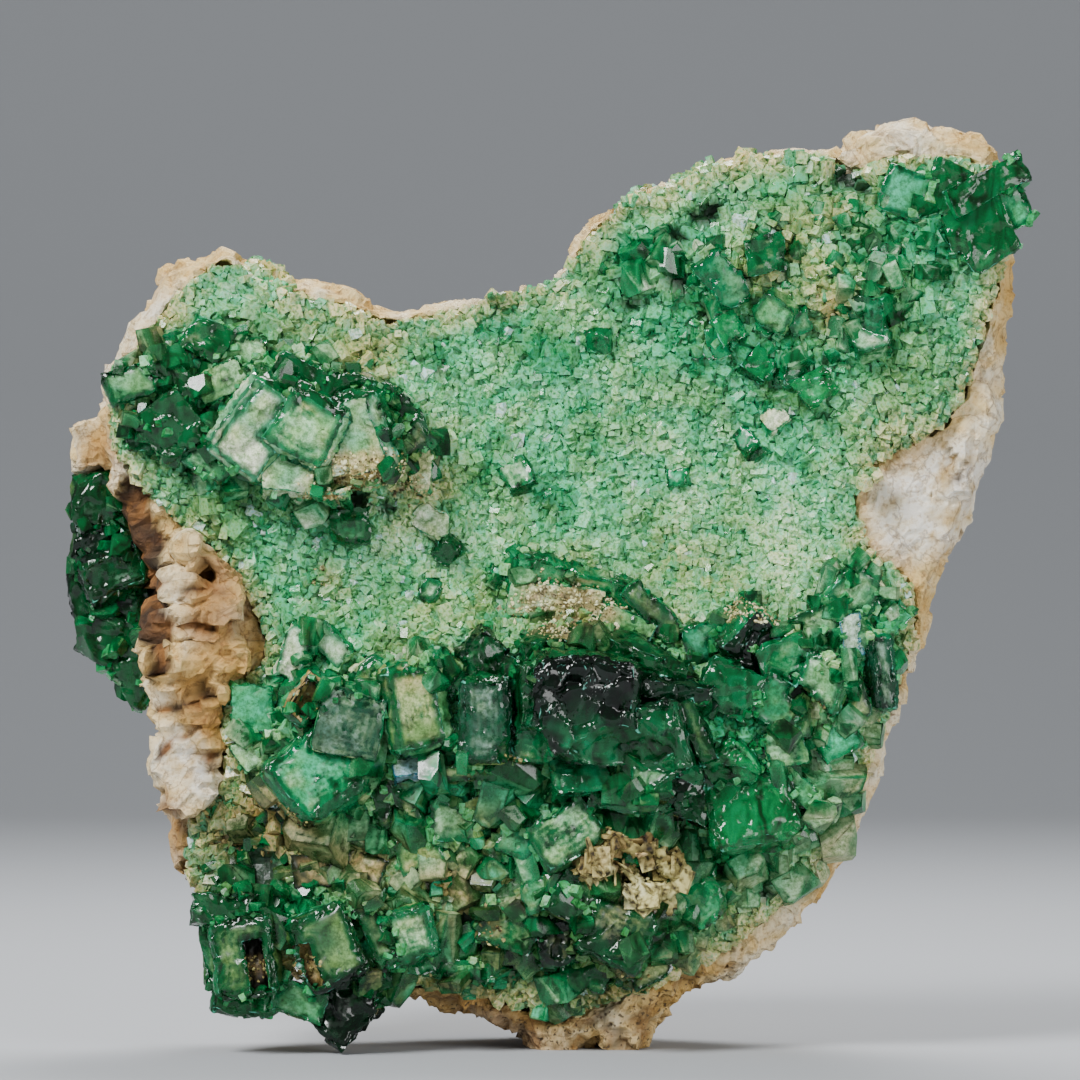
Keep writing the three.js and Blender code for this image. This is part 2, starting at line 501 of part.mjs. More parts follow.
// Small cubes in every direction all over the crust: x, z, reach, how many and their half size.
const STREWN = [
  { x: 40, z: 122, reach: 27, count: 14, half: 2.2 },
  { x: 12, z: 104, reach: 22, count: 5, half: 1.8 },
  { x: -34, z: 112, reach: 16, count: 3, half: 1.8 },
  { x: -46, z: 84, reach: 14, count: 2, half: 1.8 },
  { x: 44, z: 106, reach: 18, count: 6, half: 1.9 },
  { x: -22, z: 72, reach: 16, count: 4, half: 1.6 },
  { x: 40, z: 32, reach: 12, count: 5, half: 2 },
  { x: -8, z: 12, reach: 12, count: 4, half: 1.8 },
];

const STREWN_WITHIN = 0.93; // the share of the way from the heart to the crust's edge that they reach
const STREWN_LIFT = 0.1; // how far their middles stand out, as a share of their half size

function strewn() {
  const random = randomFrom(21);
  const between = (least, most) => least + (most - least) * random();
  return STREWN.flatMap(({ x, z, reach, count, half }) =>
    Array.from({ length: count }, () => {
      const far = reach * Math.sqrt(random());
      const way = between(0, 2 * Math.PI);
      const size = half * between(0.6, 1.4);
      return {
        x: x + far * Math.cos(way),
        z: z + far * Math.sin(way),
        lift: STREWN_LIFT * size,
        half: [size, size * between(0.8, 1.1), size * between(0.8, 1.2)],
        spin: between(0, 90),
        yaw: between(-30, 30),
        pitch: between(-30, 30),
      };
    }),
  ).filter(({ x, z }) => insideCrust(x, z, STREWN_WITHIN));
}

// Whether a place lies within a share of the way from the heart to the crust's edge.
function insideCrust(x, z, share) {
  const way = Math.atan2(z - HEART[1], x - HEART[0]);
  const nearest = CRUST_RIM.reduce(
    (best, [rx, rz]) => {
      const turn = Math.atan2(rz - HEART[1], rx - HEART[0]) - way;
      const off = Math.abs(Math.atan2(Math.sin(turn), Math.cos(turn)));
      return off < best.off ? { off, reach: Math.hypot(rx - HEART[0], rz - HEART[1]) } : best;
    },
    { off: Infinity, reach: 0 },
  );
  return Math.hypot(x - HEART[0], z - HEART[1]) < share * nearest.reach;
}

// ---------- a skeleton of clay plates, left where a crystal has dissolved ----------

const CLAY_PLATES = [
  { x: 7.4, z: 30.6, lift: 1.2, half: [4.4, 3, 0.8], spin: 34 },
  { x: 13.6, z: 32.2, lift: 1, half: [4.6, 3, 0.8], spin: -12 },
  { x: 18.6, z: 29.4, lift: 1, half: [3.4, 3, 0.8], spin: -44 },
  { x: 9.6, z: 26, lift: 1, half: [4, 3.2, 0.8], spin: -40 },
  { x: 15, z: 24.8, lift: 1, half: [5.4, 3.2, 1], spin: 14 },
  { x: 19.6, z: 25.6, lift: 0.8, half: [0.8, 3, 3.8], spin: -24 },
  { x: 13.2, z: 27.6, lift: 0.4, half: [0.6, 3.2, 2.6], spin: 36 },
];

// ---------- assembly ----------

const GROUPS = {
  ridge_crystals: RIDGE.map(onFace),
  lower_middle_crystals: LOWER_MIDDLE.map(onFace),
  lower_left_crystals: LOWER_LEFT.map(onFace),
  upper_left_crystals: UPPER_LEFT.map(onFace),
  top_right_crystals: TOP_RIGHT.map(onFace),
  left_flank_crystals: LEFT_FLANK,
  clay_skeleton: CLAY_PLATES.map(onFace),
};

const FRACTURE_DETAIL = 1; // how often the edges of the ball that gives a fracture its form are halved

// Shell-shaped fractures, where a crystal has lost a corner. lift is that of the middle of the shell.
const FRACTURES = {
  ridge_crystals: [
    { x: 11.4, z: 45.4, lift: 11.4, radius: 8.4, stretch: [1.15, 0.9, 0.8] },
    { x: 27, z: 41.4, lift: 9.6, radius: 7, stretch: [1.3, 0.8, 0.7] },
    { x: -3.4, z: 45.8, lift: 8.4, radius: 5, stretch: [0.9, 0.9, 1.1] },
  ],
};

// Hollows with flat walls in the faces of crystals, and in what is left of the clay around them.
const HOLLOWS = {
  ridge_crystals: [
    { x: -36.7, z: 55, lift: 4.6, half: [1.6, 1.9, 2.8], spin: -38 },
    { x: 40.6, z: 53.6, lift: 3.4, half: [3.6, 2.4, 1], spin: -42 },
    { x: 34.4, z: 67.6, lift: 3.6, half: [3, 2, 0.8], spin: -30 },
  ],
  lower_left_crystals: [
    { x: -44.4, z: 14, lift: 6, half: [1.5, 2.4, 4.2], spin: 12 },
    { x: -36.2, z: 14.4, lift: 6.4, half: [1.1, 2, 3.6], spin: 24 },
  ],
  upper_left_crystals: [
    { x: -31, z: 87.6, lift: 5.4, half: [4.6, 3, 1.1], spin: -6 },
    { x: -24.4, z: 89.6, lift: 5, half: [1.7, 3, 1.5], spin: 24 },
  ],
  crystal_crust: [
    { x: -44.6, z: 29, lift: 2.4, half: [2.2, 3, 2], spin: 28 },
    { x: -34.8, z: 72.6, lift: 3.2, half: [1.3, 1.6, 1.3], spin: 42 },
    { x: -11.6, z: 23.6, lift: 0.6, half: [3, 2.6, 2], spin: -20 },
    { x: -17.6, z: 24.8, lift: 0.6, half: [1.8, 2.6, 2.6], spin: 24 },
  ],
};

const hugeBox = () => new THREE.BoxGeometry(HUGE, HUGE, HUGE);

// What lies deeper than a depth inside the slab's left flank.
const insideFlank = (depth) => solid(hugeBox().translate(FLANK_X + depth + HUGE / 2, 0, 0));

function fracture({ x, z, lift, radius, stretch }) {
  const { at } = onFace({ x, z, lift });
  const ball = new THREE.IcosahedronGeometry(radius, FRACTURE_DETAIL);
  return solid(ball.scale(...stretch).translate(...at));
}

// Everything that is cut out of a node's fronts.
const losses = (name) => [
  ...(FRACTURES[name] ?? []).map(fracture),
  ...(HOLLOWS[name] ?? []).map((one) => crystal(onFace(one))),
];

function build() {
  const floor = solid(hugeBox().translate(0, 0, -HUGE / 2));
  const underCrystals = deeperThan(-GAP);
  const parts = {};
  const rooms = [];
  for (const [name, crystals] of Object.entries(GROUPS)) {
    const rooted = name === "left_flank_crystals" ? insideFlank(FLANK_ROOT) : underCrystals;
    const grown = join(crystals.map((one) => crystal(one)));
    // An earlier group keeps its room: this one is cut back from it.
    parts[name] = tidy(cut(grown, rooted, floor, ...losses(name), ...rooms));
    rooms.push(join(crystals.map((one) => crystal(one, GAP))));
  }
  const embedded = [...ON_CRUST, ...strewn()].map(onFace);
  const crust = join([crustBody(), ...embedded.map((one) => crystal(one))]);
  const crowded = cut(crust, deeperThan(CRUST_THICK), floor, ...rooms.map(aboveCrust));
  parts.crystal_crust = tidy(cut(crowded, ...losses("crystal_crust")));
  const bed = join([crustBed(), ...embedded.map((one) => crystal(one, GAP))]);
  const flank = join(LEFT_FLANK.map((one) => crystal(one, GAP)));
  const flankRoom = cut(flank, insideFlank(FLANK_ROOT + GAP));
  parts.rock = tidy(cut(rockBody(), cut(bed, deeperThan(CRUST_THICK + GAP)), flankRoom, floor));
  return parts;
}

// The part of a group's room that stands in front of the crust's face, where only fused crystals are in its
// way.
const aboveCrust = (room) => cut(room, deeperThan(-GAP / 2));

const COLOURS = {
  rock: 0xd9c6a2,
  crystal_crust: 0x7fb58c,
  clay_skeleton: 0xb08a5c,
};
const DEEP_GREEN = 0x1f6b42;

// A solid as a three.js mesh with flat faces.
function mesh(name, body) {
  const { numProp, vertProperties, triVerts } = body.getMesh();
  const positions = new Float32Array(triVerts.length * 3);
  triVerts.forEach((vertex, i) => {
    positions.set(vertProperties.subarray(vertex * numProp, vertex * numProp + 3), i * 3);
  });
  const geometry = new THREE.BufferGeometry();
  geometry.setAttribute("position", new THREE.BufferAttribute(positions, 3));
  geometry.computeVertexNormals();
  const isCrystal = !(name in COLOURS);
  const material = new THREE.MeshStandardMaterial({
    color: COLOURS[name] ?? DEEP_GREEN,
    roughness: isCrystal ? 0.15 : 0.85,
    metalness: 0,
  });
  const made = new THREE.Mesh(geometry, material);
  made.name = name;
  return made;
}

const specimen = new THREE.Group();
specimen.name = "fluorite_cluster";
for (const [name, body] of Object.entries(build())) specimen.add(mesh(name, body));

// The origin is under the middle of the whole specimen, on the surface that it stands on.
const middle = new THREE.Box3().setFromObject(specimen).getCenter(new THREE.Vector3());
specimen.position.set(-middle.x, -middle.y, 0);

export default specimen;
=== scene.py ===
"""A standing plate of green fluorite crystals on pale feldspar rock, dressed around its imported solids."""

import math

import bmesh
import bpy
import numpy as np
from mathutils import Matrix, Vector
from mathutils.bvhtree import BVHTree
from mathutils.kdtree import KDTree


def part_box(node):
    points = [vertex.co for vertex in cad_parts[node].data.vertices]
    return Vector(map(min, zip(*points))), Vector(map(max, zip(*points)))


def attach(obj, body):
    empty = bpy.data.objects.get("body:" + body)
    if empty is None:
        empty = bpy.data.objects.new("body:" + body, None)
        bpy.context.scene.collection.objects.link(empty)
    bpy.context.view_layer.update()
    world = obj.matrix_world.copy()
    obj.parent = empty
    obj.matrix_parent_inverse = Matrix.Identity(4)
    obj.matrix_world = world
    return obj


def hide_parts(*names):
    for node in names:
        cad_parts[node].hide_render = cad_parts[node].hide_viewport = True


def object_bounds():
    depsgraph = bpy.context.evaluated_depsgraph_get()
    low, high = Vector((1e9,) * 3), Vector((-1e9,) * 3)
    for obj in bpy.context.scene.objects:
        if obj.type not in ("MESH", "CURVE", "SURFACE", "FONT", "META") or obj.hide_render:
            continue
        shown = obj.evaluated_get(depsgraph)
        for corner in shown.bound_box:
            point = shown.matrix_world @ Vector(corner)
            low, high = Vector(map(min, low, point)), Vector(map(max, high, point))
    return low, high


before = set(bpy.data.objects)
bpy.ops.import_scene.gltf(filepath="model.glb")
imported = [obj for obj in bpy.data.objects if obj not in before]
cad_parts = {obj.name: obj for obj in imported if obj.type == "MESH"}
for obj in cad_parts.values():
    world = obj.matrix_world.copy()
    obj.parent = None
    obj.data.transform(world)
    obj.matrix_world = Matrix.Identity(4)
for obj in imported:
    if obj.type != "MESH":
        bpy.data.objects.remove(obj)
cad_low, cad_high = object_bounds()

MM = 0.001  # sizes below are in millimetres, and meshes are in metres


# ---------- colours and soft shares ----------

def linear(hex_colour):
    """An sRGB hex colour as linear red, green, blue and alpha."""
    parts = [int(hex_colour[i:i + 2], 16) / 255 for i in (1, 3, 5)]
    return (*[c / 12.92 if c <= 0.04045 else ((c + 0.055) / 1.055) ** 2.4 for c in parts], 1.0)


def blend(first, second, share):
    """Colours mixed point by point."""
    return first + (second - first) * share[:, None]


def along(hex_colours, place):
    """Colours from an even row of them, for places from 0 to 1 along it."""
    row = np.array([linear(colour) for colour in hex_colours])
    step = np.clip(place, 0, 1) * (len(row) - 1)
    low = np.minimum(step.astype(int), len(row) - 2)
    return blend(row[low], row[low + 1], step - low)


def smooth_step(value, low, high):
    """0 below low, 1 above high, and an even rise between."""
    share = np.clip((value - low) / (high - low), 0, 1)
    return share * share * (3 - 2 * share)


def lumps(points, size, seed, octaves=3):
    """Smooth noise from 0 to 1 at points in millimetres. size is that of its largest lumps."""
    lattice = np.random.default_rng(seed).random((32, 32, 32))
    total = np.zeros(len(points))
    for octave in range(octaves):
        place = points / (size / 2 ** octave) + 11.7 * octave
        cell = np.floor(place).astype(int)
        share = place - cell
        share = share * share * (3 - 2 * share)
        value = np.zeros(len(points))
        for corner in np.ndindex(2, 2, 2):
            near = (cell + corner) % 32
            weight = np.prod(np.where(corner, share, 1 - share), axis=1)
            value += weight * lattice[near[:, 0], near[:, 1], near[:, 2]]
        total += value * 0.5 ** octave
    return total / (2 - 0.5 ** (octaves - 1))


def strength_at(points, places):
    """How strongly soft round places, each an x, z, reach and strength, are felt at points."""
    total = np.zeros(len(points))
    for x, z, reach, strength in places:
        away = (points[:, 0] - x) ** 2 + (points[:, 2] - z) ** 2
        total += strength * np.exp(-away / reach ** 2)
    return np.clip(total, 0, 1)


# ---------- meshes ----------

def points_of(mesh):
    """A mesh's points in millimetres."""
    flat = np.zeros(len(mesh.vertices) * 3)
    mesh.vertices.foreach_get("co", flat)
    return flat.reshape(-1, 3) / MM


def normals_of(mesh):
    """The normal at each of a mesh's points."""
    flat = np.zeros(len(mesh.vertices) * 3)
    mesh.vertices.foreach_get("normal", flat)
    return flat.reshape(-1, 3)


def move_points(mesh, points):
    """Puts a mesh's points where these are, in millimetres."""
    mesh.vertices.foreach_set("co", (points * MM).ravel())
    mesh.update()


def store(mesh, name, values, domain="POINT"):
    """Keeps a number or a colour for each point or corner, for the materials to read."""
    kind, key = ("FLOAT", "value") if values.ndim == 1 else ("FLOAT_COLOR", "color")
    kept = mesh.attributes.get(name) or mesh.attributes.new(name, kind, domain)
    kept.data.foreach_set(key, values.astype(np.float32).ravel())


def stored(mesh, name):
    """The numbers kept under a name."""
    values = np.zeros(len(mesh.attributes[name].data))
    mesh.attributes[name].data.foreach_get("value", values)
    return values


def mesh_of(shape, name):
    """A mesh made from a bmesh, which is then let go."""
    mesh = bpy.data.meshes.new(name)
    shape.to_mesh(mesh)
    shape.free()
    return mesh


def add_piece(mesh, *materials):
    """A shown object with this mesh, its name and these materials."""
    piece = bpy.data.objects.new(mesh.name, mesh)
    bpy.context.scene.collection.objects.link(piece)
    for material in materials:
        mesh.materials.append(material)
    return piece


def plain_mesh(piece):
    """The mesh of a piece with its modifiers in effect."""
    return bpy.data.meshes.new_from_object(piece.evaluated_get(bpy.context.evaluated_depsgraph_get()))


def merged_copy(node_name):
    """A bmesh copy of a CAD node whose doubled points are merged and whose flat facets are whole."""
    copy = bmesh.new()
    copy.from_mesh(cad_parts[node_name].data)
    bmesh.ops.remove_doubles(copy, verts=copy.verts, dist=0.01 * MM)
    bmesh.ops.dissolve_limit(copy, angle_limit=math.radians(0.6), verts=copy.verts, edges=copy.edges)
    return copy


def finish_piece(piece, slot_name, *replaced):
    """A piece rides on the root body and may stand for CAD nodes, which are hidden. slot_name is not used."""
    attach(piece, "root")
    if replaced:
        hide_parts(*replaced)


# ---------- materials ----------

def add(tree, kind, inputs=None, stops=(), **settings):
    """Adds a node and gives its first live output. inputs are values or outputs to link, by the socket's
    name, or its number where names repeat."""
    node = tree.nodes.new(kind)
    for name, value in settings.items():
        setattr(node, name, value)
    for name, value in (inputs or {}).items():
        socket = node.inputs[name] if isinstance(name, int) else next(
            s for s in node.inputs if s.enabled and s.name == name)
        if isinstance(value, bpy.types.NodeSocket):
            tree.links.new(value, socket)
        else:
            socket.default_value = linear(value) if isinstance(value, str) and value[0] == "#" else value
    for number, (place, colour) in enumerate(stops):
        elements = node.color_ramp.elements
        element = elements[number] if number < 2 else elements.new(place)
        element.position = place
        element.color = linear(colour)
    return next((s for s in node.outputs if s.enabled), None)


def new_material(name):
    """An empty node material and its tree."""
    material = bpy.data.materials.new(name)
    material.use_nodes = True
    material.node_tree.nodes.clear()
    return material, material.node_tree


FLUORITE_IOR = 1.434
GROWTH_LAYERS = math.tau / 1.0  # the growth layers near an edge follow it, 1 mm apart


def clear_fluorite():
    """Fluorite grown as clear cubes: glassy faces whose green comes from the inside. Later fluids etched many
    faces dull in patches, up to a ragged line a little way in from their edges, and knocks left white chips
    along the edges, also painted bright as highlight lines. White and teal specks on the most broken faces are
    painted glints."""
    material, tree = new_material("clear_fluorite")
    place = add(tree, "ShaderNodeTexCoord").node.outputs["Object"]
    glass = add(tree, "ShaderNodeAttribute", attribute_name="glass")
    coat = add(tree, "ShaderNodeAttribute", attribute_name="coat")
    frost = add(tree, "ShaderNodeAttribute", attribute_name="frost").node.outputs["Fac"]
    rim = add(tree, "ShaderNodeAttribute", attribute_name="rim").node.outputs["Fac"]
    flecks = add(tree, "ShaderNodeAttribute", attribute_name="flecks").node.outputs["Fac"]
    blotches = add(tree, "ShaderNodeTexNoise", {"Vector": place, "Scale": 1 / (1.7 * MM), "Detail": 5.0})
    grains = add(tree, "ShaderNodeTexNoise", {
        "Vector": place, "Scale": 1 / (0.9 * MM), "Detail": 7.0, "Roughness": 0.85,
    })
    upright = add(tree, "ShaderNodeVectorMath", {0: place, 1: (1.0, 1.0, 0.35)}, operation="MULTIPLY")
    flakes = add(tree, "ShaderNodeTexNoise", {
        "Vector": upright, "Scale": 1 / (0.32 * MM), "Detail": 4.0, "Distortion": 0.6,
    })
    veins = add(tree, "ShaderNodeTexNoise", {
        "Vector": upright, "Scale": 1 / (2.4 * MM), "Detail": 4.0, "Distortion": 1.2,
    })
    depths = add(tree, "ShaderNodeValToRGB", {"Fac": veins}, stops=(
        (0.32, "#3d6b52"), (0.5, "#b4d8c2"), (0.66, "#ffffff"),
    ))
    deep_glass = add(tree, "ShaderNodeMix", {"Factor": 1.0, "A": glass, "B": depths},
                     data_type="RGBA", blend_type="MULTIPLY")
    layers = add(tree, "ShaderNodeMath", {0: rim, 1: GROWTH_LAYERS}, operation="MULTIPLY")
    zones = add(tree, "ShaderNodeMath", {0: layers}, operation="SINE")
    zoned = add(tree, "ShaderNodeMath", {0: zones, 1: 0.08, 2: frost}, operation="MULTIPLY_ADD")
    mottle = add(tree, "ShaderNodeMath", {0: grains, 1: 0.4, 2: blotches}, operation="MULTIPLY_ADD")
    dullness = add(tree, "ShaderNodeMath", {0: mottle, 1: 1.2, 2: zoned}, operation="MULTIPLY_ADD")
    dull = add(tree, "ShaderNodeMapRange", {"Value": dullness, "From Min": 1.15, "From Max": 1.62})
    inner = add(tree, "ShaderNodeMath", {0: frost, 1: 0.4, 2: rim}, operation="MULTIPLY_ADD")
    inward = add(tree, "ShaderNodeMath", {0: blotches, 1: 0.9, 2: inner}, operation="MULTIPLY_ADD")
    middle_of_face = add(tree, "ShaderNodeMapRange", {"Value": inward, "From Min": 1.25, "From Max": 2.1})
    etched = add(tree, "ShaderNodeMath", {0: dull, 1: middle_of_face}, operation="MULTIPLY")
    # White chips along the rims, painted bright also as highlight lines.
    edge = add(tree, "ShaderNodeMapRange", {"Value": rim, "From Min": 0.16, "From Max": 0.03})
    knocks = add(tree, "ShaderNodeMapRange", {"Value": mottle, "From Min": 0.74, "From Max": 0.84})
    chips = add(tree, "ShaderNodeMath", {0: edge, 1: knocks}, operation="MULTIPLY")
    # Painted glints: white specks, thickest on the most broken faces.
    broken = add(tree, "ShaderNodeMath", {0: flecks, 1: 0.34, 2: flakes}, operation="MULTIPLY_ADD")
    glint_flecked = add(tree, "ShaderNodeMapRange", {"Value": broken, "From Min": 0.94, "From Max": 1.03})
    white = add(tree, "ShaderNodeMath", {0: chips, 1: glint_flecked}, operation="MAXIMUM")
    speckle = add(tree, "ShaderNodeValToRGB", {"Fac": grains}, stops=(
        (0.36, "#5c7c5a"), (0.47, "#b8c9ae"), (0.58, "#ffffff"),
    ))
    speckled = add(tree, "ShaderNodeMix", {"Factor": 1.0, "A": coat, "B": speckle},
                   data_type="RGBA", blend_type="MULTIPLY")
    faces = add(tree, "ShaderNodeMix", {"Factor": etched, "A": deep_glass, "B": speckled}, data_type="RGBA")
    # The painted glints and edge highlights, white to teal.
    glints = add(tree, "ShaderNodeValToRGB", {"Fac": blotches}, stops=((0.44, "#dfeae4"), (0.6, "#5fc9b0")))
    colour = add(tree, "ShaderNodeMix", {"Factor": white, "A": faces, "B": glints}, data_type="RGBA")
    worn = add(tree, "ShaderNodeMath", {0: etched, 1: white}, operation="MAXIMUM")
    polish = add(tree, "ShaderNodeMapRange", {
        "Value": grains, "From Min": 0.35, "From Max": 0.65, "To Min": 0.04, "To Max": 0.2,
    })
    rough = add(tree, "ShaderNodeMath", {0: worn, 1: 0.5, 2: polish}, operation="MULTIPLY_ADD")
    clear = add(tree, "ShaderNodeMapRange", {"Value": worn, "To Min": 0.55, "To Max": 0.0})
    surface = add(tree, "ShaderNodeBsdfPrincipled", {
        "Base Color": colour, "Roughness": rough, "IOR": FLUORITE_IOR, "Transmission Weight": clear,
    })
    inside = add(tree, "ShaderNodeVolumeAbsorption", {"Color": "#5fe6c6", "Density": 320.0})
    add(tree, "ShaderNodeOutputMaterial", {"Surface": surface, "Volume": inside})
    return material


def sugary_fluorite():
    """A crust of small fluorite cubes: their own tones, clouded and yellowed inside, glassy faces that glint
    and others etched dull."""
    material, tree = new_material("sugary_fluorite")
    place = add(tree, "ShaderNodeTexCoord").node.outputs["Object"]
    tone = add(tree, "ShaderNodeAttribute", attribute_name="tone")
    dull = add(tree, "ShaderNodeAttribute", attribute_name="dull").node.outputs["Fac"]
    clouds = add(tree, "ShaderNodeTexNoise", {"Vector": place, "Scale": 1 / (0.6 * MM), "Detail": 4.0})
    veil = add(tree, "ShaderNodeValToRGB", {"Fac": clouds}, stops=(
        (0.3, "#588868"), (0.42, "#b6d4ac"), (0.5, "#eeefcc"), (0.56, "#ffffff"), (0.66, "#c0f2e0"),
    ))
    colour = add(tree, "ShaderNodeMix", {"Factor": 1.0, "A": tone, "B": veil},
                 data_type="RGBA", blend_type="MULTIPLY")
    relief = add(tree, "ShaderNodeBump", {"Height": clouds, "Strength": 0.5, "Distance": 0.25 * MM})
    surface = add(tree, "ShaderNodeBsdfPrincipled", {
        "Base Color": colour, "Roughness": dull, "IOR": FLUORITE_IOR, "Normal": relief,
    })
    add(tree, "ShaderNodeOutputMaterial", {"Surface": surface})
    return material


def broken_feldspar():
    """Broken feldspar and quartz, never polished: a sugary grain of a millimetre, brown seams, and dark pores
    where it weathered, dull all over."""
    material, tree = new_material("broken_feldspar")
    place = add(tree, "ShaderNodeTexCoord").node.outputs["Object"]
    tone = add(tree, "ShaderNodeAttribute", attribute_name="tone")
    pitted = add(tree, "ShaderNodeAttribute", attribute_name="pitted").node.outputs["Fac"]
    grain = add(tree, "ShaderNodeTexNoise", {
        "Vector": place, "Scale": 1 / (1.0 * MM), "Detail": 8.0, "Roughness": 0.72,
    })
    speckle = add(tree, "ShaderNodeValToRGB", {"Fac": grain}, stops=(
        (0.36, "#866642"), (0.44, "#ead8b2"), (0.51, "#fffdf6"),
    ))
    cracks = add(tree, "ShaderNodeTexNoise", {
        "Vector": place, "Scale": 1 / (7 * MM), "Detail": 6.0, "Distortion": 0.6,
    })
    seams = add(tree, "ShaderNodeValToRGB", {"Fac": cracks}, stops=(
        (0.47, "#ffffff"), (0.49, "#b09468"), (0.5, "#6c5030"), (0.515, "#fffaf0"),
    ))
    grainy = add(tree, "ShaderNodeMix", {"Factor": 0.6, "A": tone, "B": speckle},
                 data_type="RGBA", blend_type="MULTIPLY")
    seamed = add(tree, "ShaderNodeMix", {"Factor": 0.5, "A": grainy, "B": seams},
                 data_type="RGBA", blend_type="MULTIPLY")
    holes = add(tree, "ShaderNodeTexNoise", {"Vector": place, "Scale": 1 / (0.75 * MM), "Detail": 1.0})
    pores = add(tree, "ShaderNodeMapRange", {"Value": holes, "From Min": 0.38, "From Max": 0.32})
    open_pores = add(tree, "ShaderNodeMath", {0: pores, 1: pitted}, operation="MULTIPLY")
    colour = add(tree, "ShaderNodeMix", {"Factor": open_pores, "A": seamed, "B": "#4a3a26"}, data_type="RGBA")
    relief = add(tree, "ShaderNodeBump", {"Height": grain, "Strength": 1.0, "Distance": 0.8 * MM})
    surface = add(tree, "ShaderNodeBsdfPrincipled", {"Base Color": colour, "Roughness": 0.7, "Normal": relief})
    add(tree, "ShaderNodeOutputMaterial", {"Surface": surface})
    return material


def dried_clay():
    """Ochre clay left between dissolved crystals: earthy, dull and full of crumbs and dark pores."""
    material, tree = new_material("dried_clay")
    place = add(tree, "ShaderNodeTexCoord").node.outputs["Object"]
    tone = add(tree, "ShaderNodeAttribute", attribute_name="tone")
    crumbs = add(tree, "ShaderNodeTexNoise", {"Vector": place, "Scale": 1 / (1.1 * MM), "Detail": 6.0})
    pores = add(tree, "ShaderNodeValToRGB", {"Fac": crumbs}, stops=(
        (0.34, "#453c2e"), (0.46, "#c4beb0"), (0.56, "#ffffff"),
    ))
    colour = add(tree, "ShaderNodeMix", {"Factor": 1.0, "A": tone, "B": pores},
                 data_type="RGBA", blend_type="MULTIPLY")
    relief = add(tree, "ShaderNodeBump", {"Height": crumbs, "Strength": 1.0, "Distance": 0.5 * MM})
    surface = add(tree, "ShaderNodeBsdfPrincipled", {"Base Color": colour, "Roughness": 0.85, "Normal": relief})
    add(tree, "ShaderNodeOutputMaterial", {"Surface": surface})
    return material


CLEAR = clear_fluorite()
SUGARY = sugary_fluorite()
FELDSPAR = broken_feldspar()
CLAY = dried_clay()


# ---------- where the plate differs from place to place: x, z, reach, strength ----------

# Where the crust's crystals are coarse.
COARSE_PLACES = (
    (-50, 100, 13, 0.9), (-35, 98, 15, 0.9), (-60, 105, 9, 0.8), (-40, 18, 22, 1.0), (-10, 20, 24, 1.0),
    (25, 20, 20, 1.0), (40, 38, 16, 0.9), (45, 58, 13, 0.8), (-40, 48, 11, 0.8), (0, 42, 18, 1.0),
    (-25, 32, 14, 1.0), (58, 127, 13, 0.7), (38, 130, 12, 0.5), (12, 126, 10, 0.5), (-5, 111, 8, 0.6),
    (-36, 73, 7, 0.4), (46, 104, 12, 0.4), (30, 114, 12, 0.4), (50, 118, 10, 0.4), (18, 122, 9, 0.3),
)
# Where iron has stained crystals and crust brown.
STAINED_PLACES = (
    (-28, 29, 5, 0.8), (-10, 35, 3, 0.6), (-4, 24, 3, 0.7), (-44, 38, 6, 0.9), (-14, 28, 4, 0.6),
    (45, 27, 4, 0.7), (36, 17, 5, 0.7), (27, 10, 5, 0.7), (48, 36, 3, 0.5), (10, 6, 6, 0.6), (-6, 6, 6, 0.5),
    (-23, 92, 5, 0.9), (-30, 86.6, 4, 0.8), (-37, 101, 2.4, 0.7), (4, 70, 6, 0.5), (-20, 59.5, 3, 0.6),
    (44, 115, 4, 0.9), (-30, 91, 4, 0.8), (6, 69, 5, 0.7), (36, 123, 7, 0.45), (46, 131, 5, 0.5),
    (-48, 34, 7, 0.9), (-38, 31, 6, 0.6), (-12, 25, 6, 0.7), (-22, 27, 6, 0.5), (36, 66, 4, 0.7),
    (40, 53, 3, 0.8), (24, 74, 9, 0.3), (-18, 87, 4, 0.6), (-34, 73, 3, 0.6), (30, 20, 7, 0.4),
    (-58, 113, 6, 0.5), (-28, 107, 6, 0.6), (-40, 112, 6, 0.3), (-4, 45, 4, 0.5), (14, 27, 7, 0.6),
    (-8, 8, 9, 0.5), (-24, 60, 4, 0.3), (54, 96, 5, 0.5), (8, 14, 8, 0.3),
)
# Where the crust is a deep green.
DEEP_PLACES = (
    (0, 100, 8, 0.25), (-52, 106, 8, 0.5), (30, 114, 8, 0.5), (-8, 112, 8, 0.5), (40, 100, 9, 0.4),
    (52, 118, 9, 0.4), (58, 104, 8, 0.3), (20, 121, 5, 0.5), (-45, 88, 6, 0.3), (-20, 66, 5, 0.4),
    (-38, 26, 12, 0.5), (-46, 34, 7, 0.4), (-10, 30, 12, 0.5), (20, 30, 12, 0.6), (40, 45, 12, 0.5),
    (2, 12, 12, 0.5), (-48, 12, 8, 0.6),
)
# The boxwork of clay, and the hole in its middle, whose dark is painted shade.
CLAY_PATCH = (13, 28, 6, 1.0)
CLAY_HOLE = (14.5, 28.6, 2.6, 1.0)
